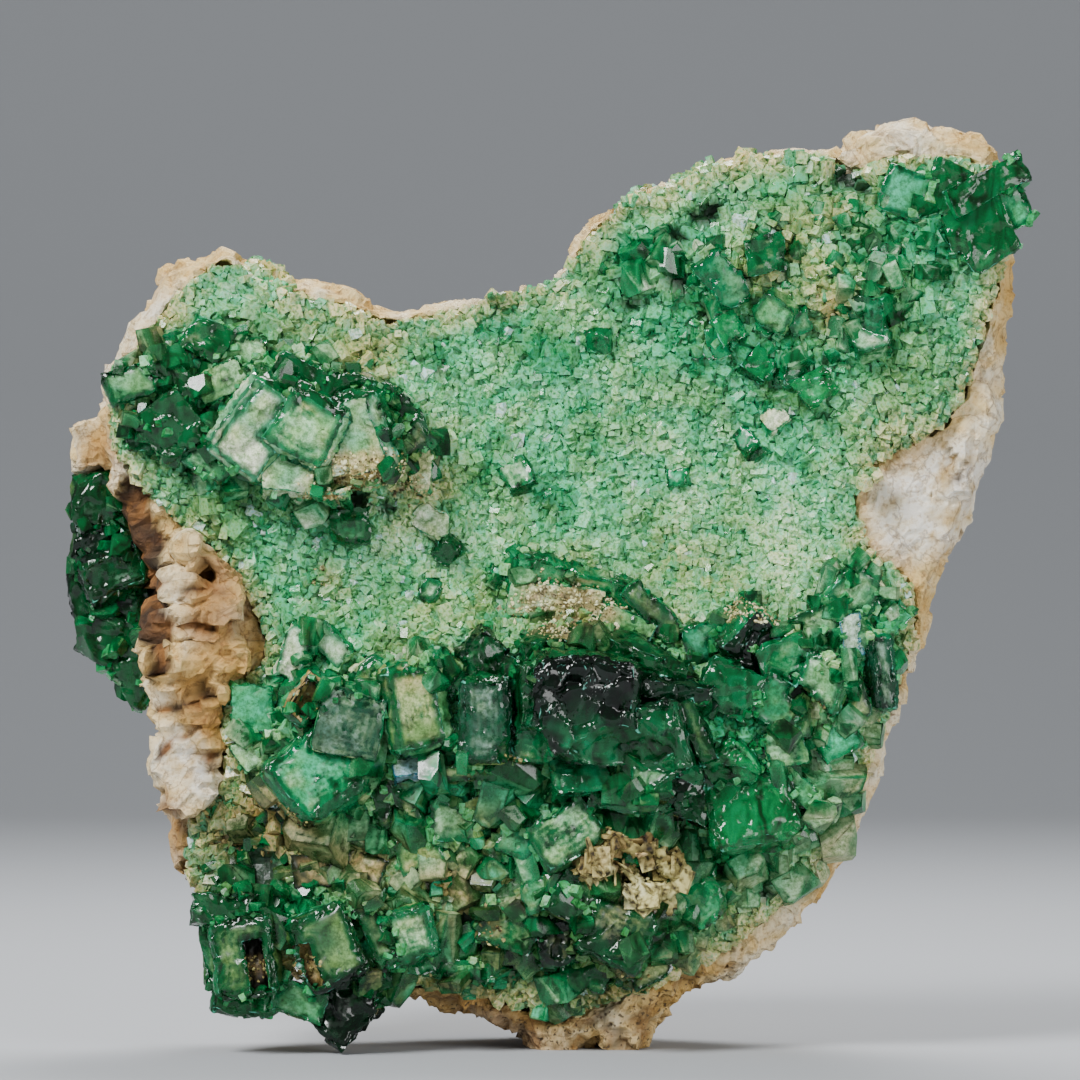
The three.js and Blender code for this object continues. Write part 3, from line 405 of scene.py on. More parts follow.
# Cavities in the crust and dark spaces between its crystals, the reach and depth of each: the ground sinks
# there, and their dark is painted shadow on the druse.
PITS = (
    CLAY_HOLE, (-48, 33, 1.8, 0.8), (-44.2, 28.6, 3.4, 1.0), (-39.8, 33.2, 1.1, 0.9), (-28.8, 22, 2.6, 1.0),
    (-12, 21.2, 3.2, 1.0), (-10.3, 16.9, 1.2, 0.8), (-14.5, 14, 2.2, 0.7), (-8.2, 34.8, 2.2, 0.9),
    (26, 130.4, 1.9, 0.9), (23.4, 129.6, 1.5, 0.8), (18.4, 126.8, 1.5, 0.8), (21, 126.2, 1.4, 0.8),
    (46, 135.6, 1.9, 0.9), (49, 134, 1.5, 0.8), (20.4, 120.4, 1.6, 0.8), (30, 119.8, 1.6, 0.8),
    (25.4, 114.6, 1.8, 0.8), (40, 112.6, 1.3, 0.7), (13, 116, 1.3, 0.7), (-30, 85.6, 2.6, 0.8),
    (-24.6, 84.4, 1.8, 0.7), (-55, 91, 1.6, 0.7), (27.6, 29, 2.0, 0.8), (1, 27.6, 1.8, 0.7),
    (-20.5, 26.4, 1.6, 0.8), (-32, 34.5, 1.6, 0.8), (34, 25, 1.8, 0.7), (46, 40.4, 1.8, 0.7),
    (-5, 13.4, 1.6, 0.7), (-38, 23.6, 1.8, 0.9),
)
# Where crumbs of dried clay cling.
CRUMBLY_PLACES = (
    (-50, 36, 5, 1.0), (-42, 35, 5, 0.9), (-53, 28, 4, 0.7), (-36, 30, 4, 0.6), (-14, 24, 4, 0.7),
    (-8, 19, 3, 0.6), (3, 68.6, 5.5, 0.9), (-3, 69.6, 4, 0.7), (10, 68.4, 3, 0.6), (28, 69.4, 2.4, 1.0),
    (33, 68.6, 2.4, 1.0), (36, 67, 2, 0.7), (-31, 90, 4, 0.8), (-24, 90, 3.4, 0.9), (-20, 87, 3, 0.8),
    (-36, 86, 4, 0.6), (-44.4, 14, 2.6, 0.9), (-35.6, 14.6, 2.2, 0.8), (13, 28, 5.5, 0.9), (44, 115, 3, 0.8),
    (-30, 108, 3.4, 0.6), (-22, 103.6, 3, 0.5), (-34.8, 72.8, 2.4, 0.8), (40.6, 53.4, 2.2, 0.8),
    (24, 10, 6, 0.5), (-18, 8, 8, 0.4), (-36.8, 55, 1.8, 0.9), (-4.6, 45, 3, 0.5), (14, 12, 5, 0.4),
    (42, 128, 4, 0.3), (48, 46, 3, 0.4), (-50, 45, 3, 0.3), (-22, 34, 3, 0.5), (-10, 31, 3, 0.5),
)
# Where the druse's tips are made darker, by up to a half.
DARKENED_PLACES = ((-51, 35, 6, 1.0), (-44, 31, 5, 0.8), (-53, 27, 3, 0.6))
# Where the crust has yellowed.
YELLOWED_PLACES = (
    (-22, 66, 8, 0.8), (-8, 68, 7, 0.7), (-34, 70, 5, 0.6), (2, 73, 7, 0.6), (-50, 48, 6, 0.9),
    (-49, 43, 5, 0.9), (22, 75, 8, 0.7), (38, 122, 8, 0.7), (34, 128, 6, 0.5), (-26, 108, 6, 0.8),
    (-36, 113, 5, 0.6), (48, 96, 5, 0.8), (54, 104, 5, 0.6), (-58, 92, 5, 0.6), (-52, 86, 5, 0.5),
    (-14, 84, 6, 0.4), (44, 74, 5, 0.5), (6, 120, 5, 0.5),
)
# Where the crust and its crystals are pale.
PALE_PLACES = (
    (25, 84, 16, 0.5), (-12, 74, 10, 0.4), (22, 72, 8, 0.6), (2, 100, 8, 0.3), (-28, 108, 7, 0.5),
    (46, 44, 6, 0.7), (48, 50, 5, 0.5), (42, 30, 9, 0.9), (34, 20, 6, 0.5), (24, 14, 6, 0.4),
    (-48, 56, 6, 0.5), (48, 30, 7, 0.4), (54, 76, 6, 0.4), (-18, 100, 6, 0.3), (-24, 76, 7, 0.4),
)
# Where the crystals are dark, one behind another.
SHADY_PLACES = (
    (5, 52, 14, 1.0), (20, 58, 12, 0.9), (30, 60, 8, 0.5), (18, 42, 9, 0.6), (31, 38, 8, 0.45),
    (12, 16, 10, 0.6), (-30, 8, 8, 0.9), (-48, 20, 8, 0.6), (-10, 14, 8, 0.4), (-69, 74, 18, 1.0),
    (-57, 98, 8, 0.5), (-38, 104, 8, 0.5), (-22, 95, 6, 0.5), (-8, 60, 6, 0.7), (-35, 49, 6, 0.5),
    (-46, 33, 9, 1.0), (66, 130, 9, 0.4), (0, 20, 6, 0.8), (-34, 17, 6, 0.3),
)
# Where light gets into the glass and comes back green, and where the faces were never etched.
GLOWING_PLACES = (
    (9, 43, 5, 0.9), (4, 48, 5, 0.9), (-4, 50, 2.4, 0.7), (12, 52, 3, 0.6), (31, 34, 5, 0.5),
    (-29.6, 38, 4, 0.8), (68, 131, 7, 0.5), (-33, 63, 3, 0.5), (28, 67, 2.6, 0.7), (-68, 78, 3, 0.5),
    (-63, 66, 3, 0.5), (12, 74, 5, 0.5),
)
UNETCHED_PLACES = (
    (-29.6, 38, 5, 1.0), (-40, 37, 3, 0.6), (-3, 50, 3, 0.8), (7, 45, 6, 0.7), (31, 34, 5, 0.8),
    (-24, 40, 3, 0.7), (22, 60, 6, 0.5), (67, 131, 6, 0.6), (-38, 104, 5, 0.5), (-49, 22, 4, 0.6),
)
# Crystals that hardly a knock or a break has reached.
WHOLE_PLACES = ((67, 131, 8, 1.0), (31, 36, 6, 0.6), (-35, 43, 6, 0.7))
# Crystals that stayed free of small ones.
FREE_PLACES = (
    (4, 46, 6, 0.8), (16, 50, 6, 0.8), (24, 46, 5, 0.8), (-40, 91, 5, 0.9), (-29, 95, 6, 0.9),
    (38, 58, 5, 0.6), (5, 54, 8, 1.0), (8, 74, 6, 0.9), (18, 70, 4, 0.8), (31, 37, 7, 1.0), (-35, 43, 7, 1.0),
    (-20, 54, 5, 1.0), (-9, 52, 5, 1.0), (-30, 51, 5, 1.0), (14, 62, 6, 0.9), (20, 57, 5, 0.9),
    (67, 132, 8, 0.9), (66, 126, 5, 0.8), (13, 28, 6, 1.0), (-34, 16, 6, 0.8), (-46, 15, 6, 0.8),
    (-31, 6, 6, 0.9), (-45, 97, 6, 0.9), (-33, 97, 5, 0.9), (-55, 14, 5, 0.9), (-51, 6, 5, 0.9),
    (-56, 23, 4, 0.9), (-38, 3, 5, 0.9), (-20, 43, 3, 1.0), (10, 18, 5, 0.8), (3, 33, 4, 0.7),
    (31, 63, 5, 0.8), (36, 60, 4, 0.6),
)


# ---------- the ground that the crust's crystals grow on ----------

GROUND_STEP = 1.0  # between the places where the ground is measured
GROUND_THICK = 4.1


def tree_of(*node_names):
    """One tree of all the triangles of some CAD nodes, for casting rays."""
    points, triangles = [], []
    for name in node_names:
        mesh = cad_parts[name].data
        offset = len(points)
        points.extend(v.co.copy() for v in mesh.vertices)
        triangles.extend([offset + i for i in p.vertices] for p in mesh.polygons)
    return BVHTree.FromPolygons(points, triangles)


def cast(tree, start_y, direction):
    """The y of the first hit along Y at each place of the ground, and nan where there is none."""
    hits = np.full((len(ground_z), len(ground_x)), np.nan)
    for row, z in enumerate(ground_z):
        for column, x in enumerate(ground_x):
            hit = tree.ray_cast(Vector((x, start_y, z)) * MM, Vector((0, direction, 0)))[0]
            if hit is not None:
                hits[row, column] = hit.y / MM
    return hits


def shrunk(mask, cells):
    """A mask without the cells near its edge."""
    for _ in range(cells):
        padded = np.pad(mask, 1)
        mask = mask & padded[:-2, 1:-1] & padded[2:, 1:-1] & padded[1:-1, :-2] & padded[1:-1, 2:]
    return mask


CRYSTAL_GROUPS = (
    "ridge_crystals", "lower_middle_crystals", "lower_left_crystals",
    "upper_left_crystals", "top_right_crystals", "left_flank_crystals",
)
crust_low, crust_high = (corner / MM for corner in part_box("crystal_crust"))
ground_x = np.arange(crust_low.x, crust_high.x, GROUND_STEP)
ground_z = np.arange(crust_low.z, crust_high.z, GROUND_STEP)
crust_tree = tree_of("crystal_crust")
crust_back = cast(crust_tree, 60, -1)
crust_thick = np.nanmedian(crust_back - cast(crust_tree, -60, 1))
on_crust = ~np.isnan(crust_back)
under_crystals = on_crust & ~np.isnan(cast(tree_of(*CRYSTAL_GROUPS, "clay_skeleton"), -60, 1))
ground_y = np.where(on_crust, crust_back - crust_thick, 0)
near_edge = sum((~shrunk(on_crust, cells)).astype(float) for cells in (1, 2, 3, 4)) / 4


def read_at(grid, points):
    """What a grid over the ground holds at the x and z of each point."""
    columns = np.clip(((points[:, 0] - ground_x[0]) / GROUND_STEP).round().astype(int), 0, len(ground_x) - 1)
    rows = np.clip(((points[:, 2] - ground_z[0]) / GROUND_STEP).round().astype(int), 0, len(ground_z) - 1)
    return grid[rows, columns]


def level_at(points):
    """The y of the ground at the x and z of each point, in millimetres."""
    return read_at(ground_y, points)


TIPS = ("#0d7048", "#198c60", "#32a87a", "#50bc90", "#6cc99e", "#86d0a8", "#a6dab2", "#c8e6c4")


def druse_tone(points, tint, lift):
    """The crust's colours: each grain's own tint at its tip, the place's tone, deep green painted low on each
    grain and on the ground as the shade between grains, and painted shadow in the pits.
    """
    place = 0.5 + 0.16 * (tint - 0.5)
    place += 0.9 * (lumps(points, 9, 31) - 0.5) + 0.9 * (lumps(points, 3.4, 30) - 0.5)
    place += 0.3 * strength_at(points, PALE_PLACES) - 0.38 * strength_at(points, DEEP_PLACES)
    place -= 0.14 * strength_at(points, COARSE_PLACES)
    stain = strength_at(points, STAINED_PLACES) * smooth_step(lumps(points, 3, 32) + 0.3 * tint, 0.35, 0.75)
    rim_stain = read_at(near_edge, points) * smooth_step(lumps(points, 5, 38) + 0.3 * tint, 0.4, 0.75)
    yellow = 0.36 * smooth_step(lumps(points, 6, 56) + 0.12 * tint, 0.56, 0.74)
    patches = smooth_step(lumps(points, 2.4, 59) + 0.3 * tint, 0.4, 0.7)
    yellow += 0.75 * strength_at(points, YELLOWED_PLACES) * patches
    tips = blend(along(TIPS, place), along(("#7c9450", "#b2be7e", "#dcd8a4"), place), np.clip(yellow, 0, 0.9))
    tips = blend(tips, along(("#6f5a30", "#b7945a", "#dcc391"), tint), stain)
    tips = blend(tips, along(("#8a7a4a", "#c9b47c", "#ead9ae"), tint), rim_stain)
    tips *= 1 - 0.5 * strength_at(points, DARKENED_PLACES)[:, None]
    # Painted shade: deep green low down between the grains, browned where stained.
    gap_shade = blend(along(("#1e7449", "#7ac49e"), place), along(("#4a3d20", "#7a683a"), tint), stain)
    shadow = 0.98 * smooth_step(strength_at(points, PITS) + 0.16 * (tint - 0.5), 0.42, 0.5)
    return blend(blend(gap_shade, tips, lift), along(("#0d2116", "#2b4a34"), tint), shadow)


def crust_ground():
    """The closed sheet under the druse, with the crust's own curve and lumps of its own."""
    grid_x, grid_z = np.meshgrid(ground_x, ground_z)
    base = np.column_stack([grid_x.ravel(), ground_y.ravel(), grid_z.ravel()])
    front = base.copy()
    pits = strength_at(base, PITS)
    front[:, 1] += 0.5 * near_edge.ravel() + 2.2 * pits
    front[:, 1] -= 1.8 * (lumps(base, 7, 1) - 0.5) + 0.8 * (lumps(base, 2.4, 2) - 0.5)
    behind = base + (0, GROUND_THICK, 0)
    number = -np.ones(on_crust.shape, int)
    number[on_crust] = np.arange(on_crust.sum())
    rows, columns = np.nonzero(on_crust[:-1, :-1] & on_crust[1:, :-1] & on_crust[:-1, 1:] & on_crust[1:, 1:])
    corners = np.column_stack([
        number[rows, columns], number[rows, columns + 1],
        number[rows + 1, columns + 1], number[rows + 1, columns],
    ])
    count = on_crust.sum()
    sides = np.concatenate([corners[:, (i, (i + 1) % 4)] for i in range(4)])
    seen = {(a, b) for a, b in sides}
    rim = np.array([(a, b) for a, b in sides if (b, a) not in seen])
    walls = np.column_stack([rim[:, 1], rim[:, 0], rim[:, 0] + count, rim[:, 1] + count])
    keep = on_crust.ravel()
    points = np.concatenate([front[keep], behind[keep]])
    mesh = bpy.data.meshes.new("crust_ground")
    faces = np.concatenate([corners, corners[:, ::-1] + count, walls])
    mesh.from_pydata((points * MM).tolist(), [], faces.tolist())
    facing = np.concatenate([np.ones(count), np.zeros(count)])
    bare = np.concatenate([(~shrunk(under_crystals, 1)).ravel()[keep], np.zeros(count)]) * facing
    bare *= 1 - smooth_step(strength_at(points, PITS), 0.35, 0.6)
    bare *= 1 - 0.9 * smooth_step(strength_at(points, [CLAY_PATCH]), 0.4, 0.7)
    coarse = strength_at(points, COARSE_PLACES)
    rim = smooth_step(read_at(near_edge, points), 0.1, 0.6)
    store(mesh, "fine", bare * (1 - 0.75 * coarse * (1 - rim)))
    store(mesh, "middling", bare * (0.12 + 0.88 * smooth_step(coarse + 0.5 * lumps(points, 8, 33), 0.35, 0.95)))
    inside = 1 - 0.85 * rim
    store(mesh, "coarse", bare * smooth_step(coarse + 0.3 * lumps(points, 8, 34), 0.6, 1.1) * inside)
    large = smooth_step(coarse + 0.5 * (lumps(points, 8, 40) - 0.5), 0.55, 0.95)
    large *= smooth_step(50 - points[:, 2], 0, 6)
    large *= 1 - smooth_step(strength_at(points, STAINED_PLACES), 0.3, 0.7)
    store(mesh, "large", bare * large * inside)
    store(mesh, "crumbly", facing * smooth_step(strength_at(points, CRUMBLY_PLACES), 0.2, 0.9))
    under = 1 - bare
    # The ground between the grains is painted mostly in their shade, and lighter under the large crystals.
    store(mesh, "tone", druse_tone(points, 0.6 * lumps(points, 2, 35), 0.25 + 0.5 * under))
    store(mesh, "dull", np.full(len(points), 0.4))
    return add_piece(mesh, SUGARY)


def grain_shape(name, cleavages, inset=0.0, thick=1.0):
    """A fluorite cube one unit wide, or a plate, for Geometry Nodes to repeat. Each cleavage is a direction
    and how far the cube is cut back across it, and inset panels are marked."""
    shape = bmesh.new()
    bmesh.ops.create_cube(shape, size=1.0)
    for direction, depth in cleavages:
        outward = Vector(direction).normalized()
        cut = bmesh.ops.bisect_plane(
            shape, geom=[*shape.verts, *shape.edges, *shape.faces], clear_outer=True,
            plane_co=0.5 * Vector(direction) - depth * outward, plane_no=outward)
        rim = [part for part in cut["geom_cut"] if isinstance(part, bmesh.types.BMEdge)]
        bmesh.ops.holes_fill(shape, edges=rim, sides=0)
    bmesh.ops.recalc_face_normals(shape, faces=shape.faces)
    bmesh.ops.scale(shape, vec=(1, 1, thick), verts=shape.verts)
    panels = []
    if inset:
        large = [face for face in shape.faces if face.calc_area() > 0.4]
        bmesh.ops.inset_individual(shape, faces=large, thickness=inset)
        shape.verts.index_update()
        panels = [vert.index for face in large for vert in face.verts]
    mesh = mesh_of(shape, name)
    marked = np.zeros(len(mesh.vertices))
    marked[panels] = 1
    store(mesh, "panel", marked)
    return bpy.data.objects.new(name, mesh)


def crumb_shape():
    """A crumb one unit wide, all knobs and dents."""
    shape = bmesh.new()
    bmesh.ops.create_icosphere(shape, subdivisions=1, radius=0.5)
    mesh = mesh_of(shape, "crumb")
    random = np.random.default_rng(5)
    points = points_of(mesh)
    points *= (0.7 + 0.6 * random.random(len(points)))[:, None]
    move_points(mesh, points)
    store(mesh, "panel", np.zeros(len(points)))
    return bpy.data.objects.new("crumb", mesh)


def druse_tree(name, shape, material):
    """Crystals strewn over a surface and turned every way. Inputs are their spacing and sizes in metres and
    a density by place."""
    tree = bpy.data.node_groups.new(name, "GeometryNodeTree")
    for socket_name, kind in (
        ("Geometry", "Geometry"), ("Spacing", "Float"), ("Smallest", "Float"),
        ("Largest", "Float"), ("Where", "Float"), ("Seed", "Int"),
    ):
        tree.interface.new_socket(socket_name, in_out="INPUT", socket_type="NodeSocket" + kind)
    tree.interface.new_socket("Geometry", in_out="OUTPUT", socket_type="NodeSocketGeometry")
    given = add(tree, "NodeGroupInput").node.outputs
    places = add(tree, "GeometryNodeDistributePointsOnFaces", {
        "Mesh": given["Geometry"], "Distance Min": given["Spacing"], "Density Max": 8e6,
        "Density Factor": given["Where"], "Seed": given["Seed"],
    }, distribute_method="POISSON")
    turn = add(tree, "FunctionNodeRandomValue", {
        "Min": (0, 0, 0), "Max": (math.tau, math.tau, math.tau), "Seed": given["Seed"],
    }, data_type="FLOAT_VECTOR")
    size = add(tree, "FunctionNodeRandomValue", {
        "Min": given["Smallest"], "Max": given["Largest"], "Seed": given["Seed"],
    }, data_type="FLOAT")
    stretch = add(tree, "FunctionNodeRandomValue", {
        "Min": (0.6, 0.6, 0.6), "Max": (1.4, 1.4, 1.4), "Seed": given["Seed"],
    }, data_type="FLOAT_VECTOR")
    scale = add(tree, "ShaderNodeVectorMath", {"Vector": stretch, "Scale": size}, operation="SCALE")
    model = add(tree, "GeometryNodeObjectInfo", {"Object": shape}).node.outputs["Geometry"]
    placed = add(tree, "GeometryNodeInstanceOnPoints", {
        "Points": places, "Instance": model, "Rotation": turn, "Scale": scale,
    })
    own_tint = add(tree, "FunctionNodeRandomValue", {"Seed": given["Seed"]}, data_type="FLOAT")
    tinted = add(tree, "GeometryNodeStoreNamedAttribute", {
        "Geometry": placed, "Name": "tint", "Value": own_tint,
    }, data_type="FLOAT", domain="INSTANCE")
    real = add(tree, "GeometryNodeRealizeInstances", {"Geometry": tinted})
    dressed = add(tree, "GeometryNodeSetMaterial", {"Geometry": real, "Material": material})
    add(tree, "NodeGroupOutput", {"Geometry": dressed})
    return tree


def grow(name, surface, tree, where, spacing, smallest, largest, seed):
    """Crystals grown over a surface as one plain mesh. where names the attribute that holds their density, and
    sizes are in millimetres."""
    modifier = surface.modifiers.new(name, "NODES")
    modifier.node_group = tree
    known = {item.name: item.identifier for item in tree.interface.items_tree if item.in_out == "INPUT"}
    modifier[known["Spacing"]] = spacing * MM
    modifier[known["Smallest"]] = smallest * MM
    modifier[known["Largest"]] = largest * MM
    modifier[known["Where"] + "_use_attribute"] = True
    modifier[known["Where"] + "_attribute_name"] = where
    modifier[known["Seed"]] = seed
    mesh = plain_mesh(surface)
    surface.modifiers.remove(modifier)
    mesh.name = name
    return mesh


def sugar(name, surface, tree, where, spacing, smallest, largest, seed):
    """Opaque small crystals with their tones."""
    mesh = grow(name, surface, tree, where, spacing, smallest, largest, seed)
    points, tint = points_of(mesh), stored(mesh, "tint")
    # lift is how high a point stands above the ground: low points take the painted shade.
    lift = smooth_step(level_at(points) - points[:, 1], -0.5, 0.45 + 0.35 * largest)
    glinting = 0.8 * ((tint * 53) % 1 < 0.012)
    store(mesh, "tone", blend(druse_tone(points, tint, lift), np.array(linear("#d4e8f4")), glinting))
    store(mesh, "dull", np.where((tint * 37) % 1 < 0.3, 0.08, 0.38))
    return add_piece(mesh)


ground = crust_ground()
ASKEW = ((1, 0.3, 0.12), 0.05)
CORNERS = (((1, 1, 1), 0.2), ((-1, -1, 1), 0.12), ((1, -1, -1), 0.16), ((-1, 1, 1), 0.07))
SHARDS = (((1, 1, 1), 0.34), ((-1, -1, 1), 0.2), ((1, -1, -1), 0.26), ((0, -1, 1), 0.12))
LEANING = (ASKEW, ((-0.2, 0.14, 1), 0.06), ((0.1, -1, -0.34), 0.05))
fine_tree = druse_tree("fine_druse", grain_shape("fine_grain", (ASKEW, CORNERS[0])), SUGARY)
middling_tree = druse_tree("middling_druse", grain_shape("middling_grain", (*LEANING, *CORNERS)), SUGARY)
coarse_tree = druse_tree("coarse_druse", grain_shape("coarse_grain", (*LEANING, *SHARDS), inset=0.17), CLEAR)
nook_tree = druse_tree("nook_crystals", grain_shape("nook_grain", (*LEANING[:2], *CORNERS[:3])), SUGARY)
crumb_tree = druse_tree("clay_crumbs", crumb_shape(), CLAY)
plate_tree = druse_tree("clay_plates", grain_shape("plate", (ASKEW, *CORNERS[:3]), thick=0.16), CLAY)


# ---------- crystals with whole faces ----------

# What a face looks like: its glass, the low and high tones of its frosting, how frosted and shattered it is,
# and how thickly it is specked with painted white glints.
GLASS, LOW, HIGH, FROST, SHATTER, GLINT_FLECKS = range(6)
LOOKS = {
    "emerald": ("#10a060", "#0e8050", "#4cb988", 0.35, 0.5, 0.0),
    "bright": ("#0ea85e", "#0c9050", "#34ba76", 0.45, 0.6, 0.0),
    "deep": ("#057a42", "#07502e", "#1e8852", 0.35, 0.55, 0.0),
    "bottle": ("#034226", "#022615", "#0e5a36", 0.3, 0.7, 0.0),
    "glinting": ("#022012", "#000e07", "#083622", 0.1, 1.0, 1.0),
    "mint": ("#0ca066", "#0b9c68", "#40c094", 0.75, 0.25, 0.0),
    "sage": ("#2a9a62", "#4ba46c", "#aad8aa", 0.75, 0.4, 0.0),
    "olive": ("#23884c", "#6f9450", "#b8c88c", 0.75, 0.35, 0.0),
    "moss": ("#147040", "#285e32", "#70975a", 0.65, 0.4, 0.0),
    "smoky": ("#186a4a", "#2a5a48", "#86a494", 0.6, 0.3, 0.3),
    "white": ("#4cb280", "#84c298", "#ecf0d8", 1.4, 0.5, 0.0),
    "tan": ("#3a2c14", "#5a4420", "#c4a46a", 1.6, 0.8, 0.0),
    "brown": ("#2c3a1c", "#3c4424", "#83855a", 1.2, 0.8, 0.0),
    # Painted glint: faces coloured blue-white as a reflection of blue light.
    "blue_glint": ("#2f8fae", "#3f8fc4", "#cfe6f2", 0.9, 0.2, 0.5),
    # Painted shade: faces in the pits coloured near black as their shade.
    "pit": ("#0a0c08", "#0c0a06", "#33261a", 1.6, 1.0, 0.0),
}
# Where the faces have which look: x, z, reach, look.
LOOK_PLACES = (
    (-35.5, 42.5, 6.6, "mint"), (-44.6, 53.6, 3.6, "mint"), (-45, 47, 3, "sage"), (-36.6, 55, 2.6, "tan"),
    (-38.6, 62, 3.4, "white"), (-33.2, 63.2, 3, "emerald"), (-30.2, 51.6, 4.6, "smoky"),
    (-26.6, 58.5, 2.2, "olive"), (-20.4, 54, 4.8, "olive"), (-9, 51.8, 4.6, "smoky"), (-9.6, 61.4, 3, "deep"),
    (-20.4, 43.4, 2.6, "blue_glint"), (-12, 43.6, 4, "olive"), (5.6, 56, 8, "glinting"), (5, 47, 6, "deep"),
    (-3, 52.6, 2, "deep"), (3, 63.8, 5, "deep"), (14, 62.4, 6, "deep"), (17, 57.6, 5, "bottle"),
    (18, 47.4, 5, "emerald"), (12.6, 39.6, 5, "sage"), (4.8, 43, 4, "mint"), (8, 74.2, 9, "emerald"),
    (1.6, 69.4, 5, "white"), (12.6, 66.4, 3, "sage"), (24.6, 63.6, 3, "mint"), (31.8, 63.4, 4, "glinting"),
    (28.4, 67, 2.6, "emerald"), (28.2, 56.6, 4, "emerald"), (36.4, 61.4, 4, "emerald"),
    (35.2, 54.4, 4, "mint"), (42.4, 57.4, 4, "sage"), (41.6, 66.6, 3.4, "sage"), (47.2, 70.8, 4, "sage"),
    (52.4, 68.6, 3, "mint"), (47, 64.6, 2, "blue_glint"), (51.2, 59, 3.6, "smoky"), (46.8, 56.4, 3, "olive"),
    (44.4, 49.6, 3.4, "mint"), (36.8, 47.4, 3, "sage"), (38, 42.6, 4, "sage"), (42, 34, 4, "olive"),
    (44, 40, 3, "sage"), (38, 28, 4, "olive"), (32, 22, 4, "moss"), (24, 14, 4, "tan"), (18, 10, 4, "olive"),
    (31.4, 36.6, 7.4, "bright"), (28.2, 44.2, 4, "bright"), (22.6, 39.8, 3, "emerald"),
    (3.2, 33.6, 5, "sage"), (-4.8, 33.4, 3, "mint"), (-14.4, 35.6, 3.6, "sage"), (-19.8, 31.4, 3, "olive"),
    (10.6, 18.6, 5.6, "deep"), (4.8, 24.4, 4, "emerald"), (-1, 24.8, 3, "sage"), (24.4, 23.4, 3.4, "emerald"),
    (-49.6, 22.4, 3, "deep"), (-45.8, 15.2, 5.4, "moss"), (-33.8, 16.6, 5.4, "moss"), (-44.4, 14, 2.4, "pit"),
    (-36.2, 14.4, 2, "tan"), (-21.4, 18.6, 4.6, "sage"), (-46.4, 8.8, 4, "deep"), (-44.4, 29, 3.2, "pit"),
    (-50, 34, 6, "brown"), (-38, 31, 5, "brown"), (-28, 28.6, 3, "brown"), (-12, 24, 4, "brown"),
    (-54, 26, 4, "moss"), (-22, 27, 3, "moss"), (44.4, 115, 2.5, "tan"), (13, 28, 5, "tan"),
    (-31.8, 6, 5, "bottle"), (-16.4, 12.6, 6, "emerald"), (-44.8, 97.6, 6.4, "white"),
    (-36.6, 97.4, 4, "sage"), (-30.4, 94.6, 6, "white"), (-40, 91.4, 4, "white"), (-27.4, 99, 3.4, "sage"),
    (-30, 88.6, 4.4, "tan"), (-36.8, 104.4, 4, "deep"), (-28.6, 102.6, 4, "deep"), (-20.4, 94, 4, "deep"),
    (-57.4, 97.2, 4, "deep"), (-57.2, 104.8, 4, "deep"), (-52, 91.4, 3, "sage"), (-63, 96, 4, "emerald"),
    (67.6, 133.8, 5, "deep"), (58, 133.6, 5, "mint"), (67, 126, 5, "deep"), (-70, 86, 5, "deep"),
    (-71, 80, 4, "bottle"), (-69, 74, 4, "deep"), (-72, 69, 4, "bottle"), (-67, 64, 6, "deep"),
    (-34.8, 72.4, 3, "tan"), (-30.6, 81.6, 3, "deep"), (-18.2, 82.4, 2.6, "white"), (-6, 114, 4, "bright"),
    (35, 123.6, 4, "emerald"), (46.8, 134.4, 3, "deep"), (14.4, 130.4, 3, "deep"), (41.6, 103.2, 3, "bright"),
    (-46, 117.2, 5, "deep"),
)
# Chance looks for the rest, where the plate is pale, where it is mixed and where it is dark.
PALE_LOOKS = ("emerald", "mint", "deep", "sage", "emerald", "sage", "white", "mint")
MIXED_LOOKS = ("deep", "sage", "emerald", "mint", "moss", "sage", "deep", "olive")
DARK_LOOKS = ("deep", "bottle", "emerald", "deep", "moss", "deep", "emerald", "bottle")


def chance_looks(points, chances, shade=0.0):
    """A look for each point by its chance from 0 to 1: mixed in the lower left and middle, pale elsewhere,
    and dark in the shade."""
    names = list(LOOKS)
    pale, mixed, dark = (
        np.array([names.index(name) for name in some])[(chances * len(some)).astype(int)]
        for some in (PALE_LOOKS, MIXED_LOOKS, DARK_LOOKS)
    )
    lit = np.where((points[:, 2] > 46) | (points[:, 0] > 32), pale, mixed)
    return np.where(strength_at(points, SHADY_PLACES) + shade > 0.4, dark, lit)


def look_part(looks, part):
    """One part of each look, given by its number: a colour or a share."""
    row = [look[part] for look in LOOKS.values()]
    return np.array([linear(value) if isinstance(value, str) else value for value in row])[looks]


FACET_STEP = 0.66  # the longest edge of a crystal's small faces
LARGEST_SINGLE = 15.0  # a piece of the crust's skin wider than this is no crystal
SHARP = math.radians(24)  # an edge turned more than this parts two facets


def look_rows(centres, seed):
    """The look of each facet, from the place it lies in, or else a chance one."""
    names = list(LOOKS)
    chance = chance_looks(centres, np.random.default_rng(seed).random(len(centres)))
    share = np.array([(c[0] - x) ** 2 + (c[2] - z) ** 2 for c in centres for x, z, _, _ in LOOK_PLACES])
    share = share.reshape(len(centres), -1) / np.array([reach ** 2 for _, _, reach, _ in LOOK_PLACES])
    nearest = share.argmin(axis=1)
    looks = np.array([names.index(look) for _, _, _, look in LOOK_PLACES])[nearest]
    return np.where(share.min(axis=1) < 1, looks, chance)


def number_facets(body):
    """Numbers the flat or gently curved facets of a bmesh from 0."""
    layer = body.faces.layers.int.new("facet")
    count = 0
    for face in body.faces:
        face[layer] = -1
    for first in body.faces:
        if first[layer] >= 0:
            continue
        first[layer], queue = count, [first]
        while queue:
            for edge in queue.pop().edges:
                if len(edge.link_faces) < 2 or edge.calc_face_angle() > SHARP:
                    continue
                for face in edge.link_faces:
                    if face[layer] < 0:
                        face[layer] = count
                        queue.append(face)
        count += 1


